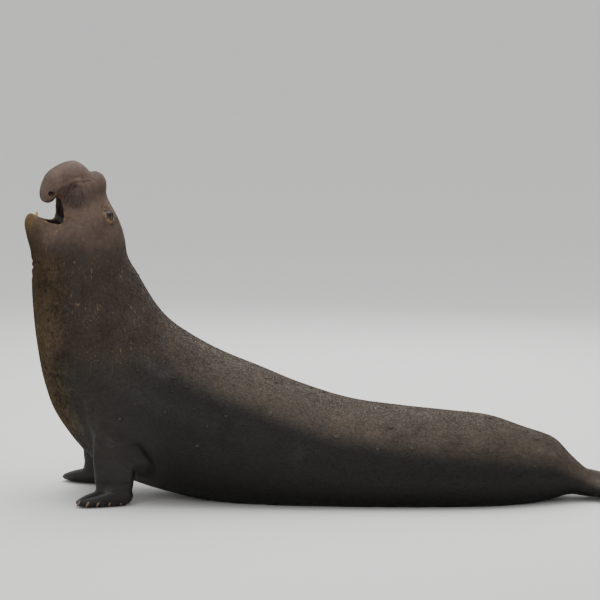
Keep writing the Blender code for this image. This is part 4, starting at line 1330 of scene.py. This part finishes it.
def tooth_pieces(name, reach, wide, blunt):
    """One spike for each tooth, as long as reach says and as wide as wide says."""
    made = []
    for tooth in LOWER_TEETH + UPPER_TEETH:
        for side in each_side(tooth.both_sides):
            root, tip = (Vector((x, y * side, z)) for x, y, z in (tooth.root, tooth.tip))
            share = CANINE_BOW if tooth.radius > CANINE_RADIUS else PEG_BOW
            bow = Vector((0.10, 0, 0)) * (tip - root).length * share
            end, radius = root.lerp(tip, reach), tooth.radius * wide
            made.append(spike(name, root, end, radius, blunt=blunt, bend=bow * -1, sides=12))
    return made


def smoothed(obj):
    step = obj.modifiers.new("smooth", "SUBSURF")
    step.levels = step.render_levels = 1
    return smooth(finish_steps(obj))


teeth = smoothed(join_all("teeth", tooth_pieces("tooth", 0.985, 0.93, 0.38)))
matter, shader, space = new_matter("ivory", coat=0.4, coat_roughness=0.12)
height = space.part(2)
stain = space.noise(60.0, 4.0)
lines = space.scaled(1.0, 1.0, 0.12).noise(420.0, 2.0)
colour = stain.between(0.30, 0.70).mix((0.62, 0.40, 0.14), (0.50, 0.24, 0.050))
colour = (height.between(1.405, 1.432) * 0.55).mix(colour, (0.66, 0.33, 0.07))
colour = (lines.between(0.55, 0.70) * 0.30).mix(colour, (0.24, 0.12, 0.04))
bump = lines.bump(0.25, 0.0006)
feed(shader, Base_Color=colour, Roughness=0.26 + 0.2 * stain, Normal=bump)
teeth.data.materials.append(matter)
take_pose(teeth)
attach(teeth, "root")
print("teeth", len(teeth.data.polygons), "faces")

# %% Gums
gums = smoothed(join_all("gums", tooth_pieces("gum", 0.48, 1.55, 0.80)))
matter, shader, space = new_matter("gum", coat=0.6, coat_roughness=0.10)
blotch = space.noise(70.0, 3.0)
colour = blotch.between(0.35, 0.65).mix((0.46, 0.130, 0.125), (0.22, 0.055, 0.050))
bump = blotch.bump(0.3, 0.001)
feed(shader, Base_Color=colour, Roughness=0.30, Normal=bump)
gums.data.materials.append(matter)
take_pose(gums)
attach(gums, "root")
print("gums", len(gums.data.polygons), "faces")

# %% [markdown]
# ## Claws
#
# Each fore digit ends in a short dark claw on the edge of the paddle. A claw is a bent spike that
# starts in the flesh over the digit's tip and ends ahead of it, low over the floor. Fine lines
# run along it.

# %% Claws
CLAW_LENGTH, CLAW_RADIUS, CLAW_RISE, CLAW_TIP_Z = 0.027, 0.0064, 0.0130, 0.0090
CLAW_BEHIND, CLAW_AHEAD = 0.45, 0.55


def claw_pieces(side, step, splay):
    made = []
    for digit in FORE_DIGITS:
        knuckle, tip = Vector(digit.knuckle), Vector(digit.tip)
        way = (tip - knuckle).normalized()
        root = tip - way * CLAW_LENGTH * CLAW_BEHIND + Vector((0, 0, CLAW_RISE))
        end = tip + way * CLAW_LENGTH * CLAW_AHEAD
        end.z = CLAW_TIP_Z
        ends = [(x + step, y * side, z) for x, y, z in splayed((root, end), splay)]
        made.append(spike("claw", *ends, CLAW_RADIUS, blunt=0.3, bend=(0, 0, 0.004), sides=10))
    return made


claws = claw_pieces(1, 0.0, 0.0) + claw_pieces(-1, -FORE_STEP, HAND_SPLAY)
claws = smoothed(join_all("claws", claws))
matter, shader, space = new_matter("claw horn", coat=0.3, coat_roughness=0.2)
grain = space.scaled(0.25, 0.25, 1.0).noise(700.0, 3.0)
colour = grain.between(0.35, 0.70).mix((0.060, 0.036, 0.020), (0.170, 0.105, 0.055))
bump = grain.bump(0.35, 0.0008)
feed(shader, Base_Color=colour, Roughness=0.34 + 0.2 * grain, Normal=bump)
claws.data.materials.append(matter)
take_pose(claws)
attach(claws, "root")
print("claws", len(claws.data.polygons), "faces")

# %% [markdown]
# ## Whiskers
#
# Stiff whiskers grow in rows from the whisker pad, lie back along the cheek, and a few more stand
# over each eye. A whisker is a long thin cone with a bend. All of one kind are copies of it, each
# with its own length and lean, joined into one piece.

# %% Whiskers
WHISKER_RADIUS, WHISKER_SIDES, WHISKER_STATIONS, WHISKER_ROOT = 0.0010, 5, 7, 0.002
# The pad's rows along x and the places in a row along z: from, to, how many.
PAD_ROWS, ROW_PLACES, BROW_WHISKERS = (-1.448, -1.376, 7), (1.556, 1.498, 6), 6


def whisker(root, way, length, droop):
    """A cone from root along way, drooping towards its tip."""
    way = np.array(way) / np.linalg.norm(way)
    side = np.cross(way, (0.3, 0.2, 1.0))
    side /= np.linalg.norm(side)
    other = np.cross(way, side)
    turn = np.linspace(0, 2 * math.pi, WHISKER_SIDES, endpoint=False)
    loops = []
    for t in np.linspace(0, 1, WHISKER_STATIONS):
        middle = np.array(root) + way * length * t + np.array(droop) * length * t * t
        wide = WHISKER_RADIUS * (1 - 0.88 * t)
        loops.append(middle + np.outer(np.cos(turn), side * wide) + np.outer(np.sin(turn), other * wide))
    return loops


def joined_cones(name, bundles):
    """Many cones as one closed mesh."""
    points, faces = [], []
    for loops in bundles:
        start, sides = len(points), len(loops[0])
        for loop in loops:
            points.extend(map(tuple, loop))
        for i in range(len(loops) - 1):
            for j in range(sides):
                k = (j + 1) % sides
                low, high = start + i * sides, start + (i + 1) * sides
                faces.append((low + j, low + k, high + k, high + j))
        faces.append(tuple(start + j for j in reversed(range(sides))))
        faces.append(tuple(start + (len(loops) - 1) * sides + j for j in range(sides)))
    mesh = bpy.data.meshes.new(name)
    mesh.from_pydata(points, [], faces)
    return smooth(in_edit_mode(new_piece(name, mesh), TURN_OUTWARDS))


def whisker_on_skin(aim, push, leans, length, droop):
    """A whisker from the skin nearest to aim; a plain number for droop is a share of the normal."""
    hit, normal, _, _ = skin_tree.find_nearest(Vector(aim))
    normal = np.array(normal)
    droop = normal * droop if isinstance(droop, float) else droop
    return whisker(np.array(hit) - normal * WHISKER_ROOT, sum(leans, normal * push), length, droop)


straight = duplicate(body, "straight skin")
set_points(straight, straight_points)
skin_tree = BVHTree.FromObject(straight, bpy.context.evaluated_depsgraph_get())
bpy.data.objects.remove(straight)
bundles = []
for row, x in enumerate(np.linspace(*PAD_ROWS)):
    for z in np.linspace(*ROW_PLACES):
        for side in (1, -1):
            slant = 0.05 * (x - PAD_ROWS[0])
            aim = (x + rng.normal(0, 0.002), -0.140 * side, z + slant + rng.normal(0, 0.003))
            lean = np.array((0.35 + 0.10 * row, 0.0, -0.75)) + rng.normal(0, 0.10, 3)
            length = 0.026 + 0.004 * row + rng.uniform(0, 0.016)
            bundles.append(whisker_on_skin(aim, 0.42, (lean,), length, -0.16))
for side in (1, -1):
    for i in range(BROW_WHISKERS):
        aim = (-1.197 + 0.003 * i, -0.079 * side, 1.424 - 0.013 * i)
        leans = np.array((0.22, 0, -0.85)), rng.normal(0, 0.08, 3)
        length = 0.045 + 0.014 * rng.random()
        bundles.append(whisker_on_skin(aim, 0.40, leans, length, (0.05, 0, -0.20)))
whiskers = take_pose(joined_cones("whiskers", bundles))
matter, shader, space = new_matter("whisker", coat=0.2)
bands = space.noise(90.0, 2.0)
colour = bands.between(0.35, 0.65).mix((0.016, 0.012, 0.010), (0.075, 0.055, 0.040))
feed(shader, Base_Color=colour, Roughness=0.38 + 0.1 * bands)
whiskers.data.materials.append(matter)
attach(whiskers, "root")
print("whiskers", len(bundles))

# %% [markdown]
# ## Warts and scabs
#
# Old bites leave small raised knots on the shoulder, the flank and along the back. Each is a low,
# uneven dome that grows out of the skin and carries the skin's own colours. The ones that the
# picture shows are listed one by one. Smaller ones are scattered by chance, about twice as densely
# on the far side, which it doesn't show.
# Each knot is painted lighter towards its top, as a painted highlight.

# %% Knots in the skin
# Millimetres, in the straight stance.
KNOTS = metres((
    (-1074, -336, 687), (-895, -324, 650), (-834, -336, 605), (-936, -381, 487), (-1276, -326, 735),
    (-1160, -364, 451), (-776, -397, 323), (-1341, -286, 928), (-1011, -373, 538), (-729, -389, 417),
    (-635, -372, 464), (-440, -144, 624), (-385, -138, 603), (-607, -270, 613), (-215, -15, 554),
    (-150, -9, 534), (-418, -338, 476), (181, -256, 402), (283, -332, 307), (681, -47, 416),
    (912, -113, 322), (896, -236, 203), (-87, -343, 365),
))

KNOTS_SCATTERED, NEAR_SIDE_SHARE = 96, 0.45
KNOTS_FROM_Z, KNOTS_TO_Z = 0.22, 1.15
PLACED_SWELL, SCATTERED_SWELL = 1.45, 0.80
KNOT_RADIUS, KNOT_HEIGHT, KNOT_UNEVEN = (0.0060, 0.0100), (0.0036, 0.0056), 0.24


class Skin:
    """The finished skin as arrays: points, normals, triangles and marks."""

    def __init__(self, obj):
        mesh = obj.data
        mesh.calc_loop_triangles()
        self.points, self.normals = points_of(obj), normals_of(obj)
        self.corners = read(mesh.loop_triangles, "vertices", 3, np.int32)
        self.marks = {name: read(mesh.attributes[name].data, "value") for name in MARKS}
        a, b, c = (self.points[self.corners[:, i]] for i in range(3))
        self.areas = np.linalg.norm(np.cross(b - a, c - a), axis=1) / 2
        self.middles = (a + b + c) / 3


skin = Skin(body)
print("skin of", round(float(skin.areas.sum()), 2), "square metres,", len(skin.corners), "triangles")
skin_tree = BVHTree.FromPolygons(skin.points.tolist(), skin.corners.tolist())


def knots(count):
    """Low domes on the skin, joined, each with the marks of the skin under it."""
    bpy.ops.object.select_all(action="DESELECT")
    bpy.ops.mesh.primitive_ico_sphere_add(subdivisions=3, radius=1.0, location=(0, 0, 0))
    plane = {"plane_co": (0, 0, -0.4), "plane_no": (0, 0, -1), "clear_outer": True, "use_fill": True}
    dome = in_edit_mode(bpy.context.object, (bpy.ops.mesh.bisect, plane))
    shape = points_of(dome)
    faces = [tuple(p.vertices) for p in dome.data.polygons]
    bpy.data.objects.remove(dome)
    places = list(posed(np.array(KNOTS)) + MOVED_BY)
    free = (skin.middles[:, 2] > KNOTS_FROM_Z) & (skin.middles[:, 2] < KNOTS_TO_Z)
    chance = skin.areas * free * np.where(skin.middles[:, 1] > 0, 1.0, NEAR_SIDE_SHARE)
    places += list(skin.middles[rng.choice(len(chance), count, p=chance / chance.sum())])
    all_points, all_faces, all_marks = [], [], {name: [] for name in MARKS + ("shade", "tip")}
    for number, place in enumerate(places):
        hit, normal, triangle, _ = skin_tree.find_nearest(Vector(place))
        normal = np.array(normal)
        side = np.cross(normal, (0.2, 0.1, 1.0))
        side /= np.linalg.norm(side)
        swell = PLACED_SWELL if number < len(KNOTS) else SCATTERED_SWELL
        wide, high = rng.uniform(*KNOT_RADIUS) * swell, rng.uniform(*KNOT_HEIGHT) * swell
        lumps = shape * (1 + KNOT_UNEVEN * np.sin(shape @ rng.uniform(2, 5, 3) + rng.uniform(0, 6)))[:, None]
        lumps = lumps * (wide, wide * rng.uniform(0.45, 0.9), high)
        start = sum(len(p) for p in all_points)
        all_points.append(np.array(hit) + lumps @ np.stack([side, np.cross(normal, side), normal]))
        all_faces += [tuple(start + i for i in face) for face in faces]
        for name in MARKS:
            all_marks[name].append(np.full(len(shape), skin.marks[name][skin.corners[triangle, 0]]))
        all_marks["shade"].append(np.full(len(shape), rng.uniform(0.3, 1.0)))
        # Lighter towards the top of each knot, a painted highlight.
        all_marks["tip"].append(above(shape[:, 2], 0.25, 0.6) * rng.uniform(0.3, 1.0))
    mesh = bpy.data.meshes.new("knots")
    mesh.from_pydata(np.concatenate(all_points).tolist(), [], all_faces)
    obj = new_piece("skin_knots", mesh)
    for name, values in all_marks.items():
        remember(obj, name, np.concatenate(values))
    return smooth(obj), len(places)


grown = hide_matter("hide that grows", fur=1.0)
knotted, how_many = knots(KNOTS_SCATTERED)
knotted.data.materials.append(hide_matter("scabs_with_lit_tops", fur=0.4, lit_tops=1.0))
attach(knotted, "root")
print("knots", how_many)

# %% [markdown]
# ## Which way the fur lies
#
# Fur lies from the nose to the tail, down the throat and the neck, and along the limbs to the
# digits. A few streams are drawn along the body. Every point of the skin takes its
# direction from the streams near it, and the direction is then laid flat on the skin. The points
# are in millimetres; True says that a stream runs down both sides.

# %% Streams
STREAMS = (
    # Over the nose, the crown and the back.
    (((-1570, 0, 1560), (-1560, 0, 1640), (-1430, 0, 1690), (-1300, 0, 1610), (-1190, 0, 1400),
      (-1150, 0, 1150), (-1020, 0, 860), (-700, 0, 690), (200, 0, 480), (1000, 0, 330),
      (1400, 0, 110)), False),
    # Down the chin and the throat, and along the belly.
    (((-1640, 0, 1440), (-1640, 0, 1250), (-1600, 0, 850), (-1480, 0, 500), (-1200, 0, 220),
      (-900, 0, 50), (0, 0, 0), (1200, 0, 10)), False),
    # Over the cheek, the neck and the flank.
    (((-1500, -120, 1500), (-1380, -150, 1480), (-1330, -200, 1250), (-1290, -270, 900),
      (-1000, -350, 560), (-500, -400, 330), (200, -400, 230), (1000, -240, 150)), True),
    # Down the fore flipper and out along its hand.
    (((-1160, -300, 330), (-1190, -340, 180), (-1220, -340, 70), (-1380, -340, 20)), True),
    # Out along the hind flipper.
    (((1150, -80, 120), (1300, -130, 70), (1640, -250, 30)), True),
)

# In square metres: a stream's pull stays finite close to it.
STREAM_BLEND = 0.0004


def lie_of_fur(points, normals):
    """Unit vectors along the skin."""
    flow = np.zeros_like(points)
    for path, both_sides in STREAMS:
        for side in each_side(both_sides):
            placed = posed(np.array(metres(path)) * (1, side, 1)) + MOVED_BY
            for a, b in zip(placed, placed[1:]):
                way, away = from_stretch(points, a, b)
                near = 1 / ((away * away).sum(1) + STREAM_BLEND) ** 2
                flow += near[:, None] * way / np.linalg.norm(way)
    flow -= (flow * normals).sum(1)[:, None] * normals
    return unit(flow, 1e-9)


skin_flow = lie_of_fur(skin.points, skin.normals)
print("fur runs", np.round(skin_flow.mean(0), 2), "on average")

# %% [markdown]
# ## The skin laid flat
#
# Each tuft gets its own small spot on a flat map of the skin. A thinned copy of the skin is
# unwrapped by its own shape, and a tuft takes the spot of the skin that it grows from.

# %% Flat map
FLAT_MAP_SHARE = 0.07
flat = duplicate(body, "flat map")
thinner = flat.modifiers.new("thin", "DECIMATE")
thinner.ratio = FLAT_MAP_SHARE
finish_steps(flat)
unwrap = (bpy.ops.uv.smart_project, {"angle_limit": math.radians(66), "island_margin": 0.003})
in_edit_mode(flat, (bpy.ops.mesh.quads_convert_to_tris, {}), unwrap)
flat_corners = np.array([tuple(p.vertices) for p in flat.data.polygons])
flat_points = points_of(flat)
flat_uv = read(flat.data.uv_layers.active.data, "uv", 2).reshape(-1, 3, 2)
flat_tree = BVHTree.FromPolygons(flat_points.tolist(), flat_corners.tolist())
bpy.data.objects.remove(flat)


def spots(roots):
    """Where each root lies on the flat map."""
    hits = [flat_tree.find_nearest(Vector(r)) for r in roots.tolist()]
    places, which = np.array([tuple(h[0]) for h in hits]), np.array([h[2] for h in hits])
    a, b, c = (flat_points[flat_corners[which, i]] for i in range(3))
    whole = np.cross(b - a, c - a)
    size = (whole * whole).sum(1) + 1e-18
    share_b = np.clip((np.cross(places - a, c - a) * whole).sum(1) / size, 0, 1)
    share_c = np.clip((np.cross(b - a, places - a) * whole).sum(1) / size, 0, 1)
    uv = flat_uv[which]
    return uv[:, 0] + share_b[:, None] * (uv[:, 1] - uv[:, 0]) + share_c[:, None] * (uv[:, 2] - uv[:, 0])


print("flat map of", len(flat_corners), "triangles")

# %% [markdown]
# ## Fur
#
# The coat of this animal is short and lies flat, so most of it is the relief of the hide. Tufts of
# about half a centimetre to a centimetre break that up and soften the outline: each is a thin
# closed sliver of four faces that starts in the skin, lies along the stream and ends about a
# millimetre above the skin. They are shortest on the face and the flippers, and longest and most
# raised on the golden chest.

# %% Tufts
LIMBS = 2


def coat_regions(points):
    """0 face, 1 neck, 2 limbs, and the trunk in three lengths, 3 to 5."""
    x, _, z = points.T
    face = (z > 1.20) & (x < -1.10)
    neck = (z > 0.66) & (x < -0.95)
    limbs = ((z < 0.24) & (x < -0.98)) | (x > 1.20)
    return np.select([face, neck, limbs, x < -0.78, x < 0.12], [0, 1, LIMBS, 3, 4], 5)


coat_region = coat_regions(skin.middles)
SPOT_SIZE = 0.003
ROOT_DEPTH, FLOOR_GAP, BARE_SOLE_Z, NOSTRIL_REACH = 0.0004, 0.0006, 0.014, 0.021
# Shares of a tuft's length: half its width, and where it is highest. Then the tip's share of its lift.
HALF_WIDTH, CREST, TIP_LIFT = 0.13, 0.45, 0.85
ASTRAY, NORMAL_TILT = 0.20, 0.11
LENGTH_RANGE, LIFT_RANGE = (0.7, 1.3), (0.5, 1.3)
BARE_FROM = 0.35
# The length and the lift are in metres.
Coat = namedtuple("Coat", "name region count length lift")
COATS = (
    Coat("coat_face", 0, 49000, 0.0044, 0.0009),
    Coat("coat_neck", 1, 49000, 0.0080, 0.0013),
    Coat("coat_chest", 3, 48000, 0.0100, 0.0014),
    Coat("coat_middle", 4, 48000, 0.0110, 0.0014),
    Coat("coat_hips", 5, 42000, 0.0110, 0.0014),
    Coat("coat_flippers", LIMBS, 26000, 0.0056, 0.0009),
)
pits = posed(np.array([NOSTRIL[1], (NOSTRIL[1][0], -NOSTRIL[1][1], NOSTRIL[1][2])])) + MOVED_BY


def grow(coat):
    """The four corners of each tuft, with its normal, its sideways way, its marks and its map spot."""
    middles = skin.middles
    bare = skin.marks["lining"][skin.corners].mean(1) + skin.marks["eye_rim"][skin.corners].mean(1)
    open_skin = (bare < BARE_FROM) & (middles[:, 2] > BARE_SOLE_Z)
    for pit in pits:
        open_skin &= np.linalg.norm(middles - pit, axis=1) > NOSTRIL_REACH
    marked = 1 + 1.2 * skin.marks["fuzz"][skin.corners].mean(1) + skin.marks["lips"][skin.corners].mean(1)
    marked = marked + skin.marks["eye_glow"][skin.corners].mean(1)
    chance = skin.areas * (coat_region == coat.region) * open_skin * marked
    chosen = rng.choice(len(chance), coat.count, p=chance / chance.sum())
    one, two = rng.random(coat.count), rng.random(coat.count)
    flip = one + two > 1
    one, two = np.where(flip, 1 - one, one), np.where(flip, 1 - two, two)
    shares = np.stack([1 - one - two, one, two], axis=1)[:, :, None]
    corners = skin.corners[chosen]
    root = (skin.points[corners] * shares).sum(1)
    normal = unit((skin.normals[corners] * shares).sum(1))
    way = (skin_flow[corners] * shares).sum(1)
    way = unit(way - (way * normal).sum(1)[:, None] * normal, 1e-9)
    across = np.cross(normal, way)
    astray = rng.normal(0, ASTRAY, coat.count)[:, None]
    turn, lean = np.cos(astray), np.sin(astray)
    way, across = way * turn + across * lean, across * turn - way * lean
    marks = {name: (skin.marks[name][corners] * shares[:, :, 0]).sum(1) for name in MARKS}
    # Longer and higher in the fuzz; shorter over the nose and towards the arms; flat where wet.
    fuzz = marks["fuzz"] + 0.5 * marks["lips"]
    length = coat.length * rng.uniform(*LENGTH_RANGE, coat.count) * (1 + 0.35 * fuzz)
    lift = coat.lift * rng.uniform(*LIFT_RANGE, coat.count) * (1 + 1.1 * fuzz)
    nose = (root[:, 2] > 1.54) * (root[:, 0] < -1.36)
    length, lift = length * np.where(nose, 0.75, 1.0), lift * np.where(nose, 0.7, 1.0)
    if coat.region != LIMBS:
        arm = below(root[:, 2], 0.56, 0.30) * below(root[:, 0], -0.88, 0.22)
        length, lift = length * (1 - 0.42 * arm), lift * (1 - 0.40 * arm)
    lift = lift * (1 - 0.58 * marks["wet"])
    half = (length * HALF_WIDTH)[:, None]
    length, lift = length[:, None], lift[:, None]
    tuft = np.stack([
        root - across * half - normal * ROOT_DEPTH,
        root + across * half - normal * ROOT_DEPTH,
        root + way * length * CREST + normal * lift,
        root + way * length + normal * lift * TIP_LIFT,
    ], axis=1)
    tuft[:, :, 2] = np.maximum(tuft[:, :, 2], FLOOR_GAP)
    return tuft, normal, across, marks, spots(root)


SLIVER = np.array([(0, 1, 3), (0, 2, 1), (0, 3, 2), (1, 2, 3)])


def woven(coat):
    """The tufts as an object, with normals, marks and the map of the skin."""
    tuft, normal, across, marks, spot = grow(coat)
    count = len(tuft)
    a, b, c, d = (tuft[0, i] for i in range(4))
    faces = SLIVER if np.dot(np.cross(b - a, c - a), d - a) > 0 else SLIVER[:, ::-1]
    corners = (np.arange(count)[:, None, None] * 4 + faces).reshape(-1)
    mesh = bpy.data.meshes.new(coat.name)
    mesh.vertices.add(count * 4)
    mesh.vertices.foreach_set("co", tuft.astype(np.float32).ravel())
    mesh.loops.add(len(corners))
    mesh.loops.foreach_set("vertex_index", corners.astype(np.int32))
    mesh.polygons.add(count * 4)
    mesh.polygons.foreach_set("loop_start", np.arange(0, len(corners), 3, dtype=np.int32))
    mesh.update(calc_edges=True)
    mesh.validate()
    layer = mesh.uv_layers.new(name="OFBake")
    spread = np.array([(-0.5, -0.5), (0.5, -0.5), (0.0, 0.1), (0.0, 0.5)]) * SPOT_SIZE
    uv = np.clip(spot, 0.002, 0.998)[:, None, :] + spread
    layer.data.foreach_set("uv", uv.reshape(-1, 2)[corners].astype(np.float32).ravel())
    obj = smooth(new_piece(coat.name, mesh))
    marks["shade"] = rng.random(count)
    for name, values in marks.items():
        remember(obj, name, np.repeat(values, 4))
    tilt = normal + across * (rng.normal(0, NORMAL_TILT, count) * (1 - 0.8 * marks["wet"]))[:, None]
    mesh.normals_split_custom_set_from_vertices(np.repeat(unit(tilt), 4, axis=0).tolist())
    return obj


for coat in COATS:
    fur = woven(coat)
    fur.data.materials.append(grown)
    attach(fur, "root")
    print(coat.name, len(fur.data.polygons), "triangles")
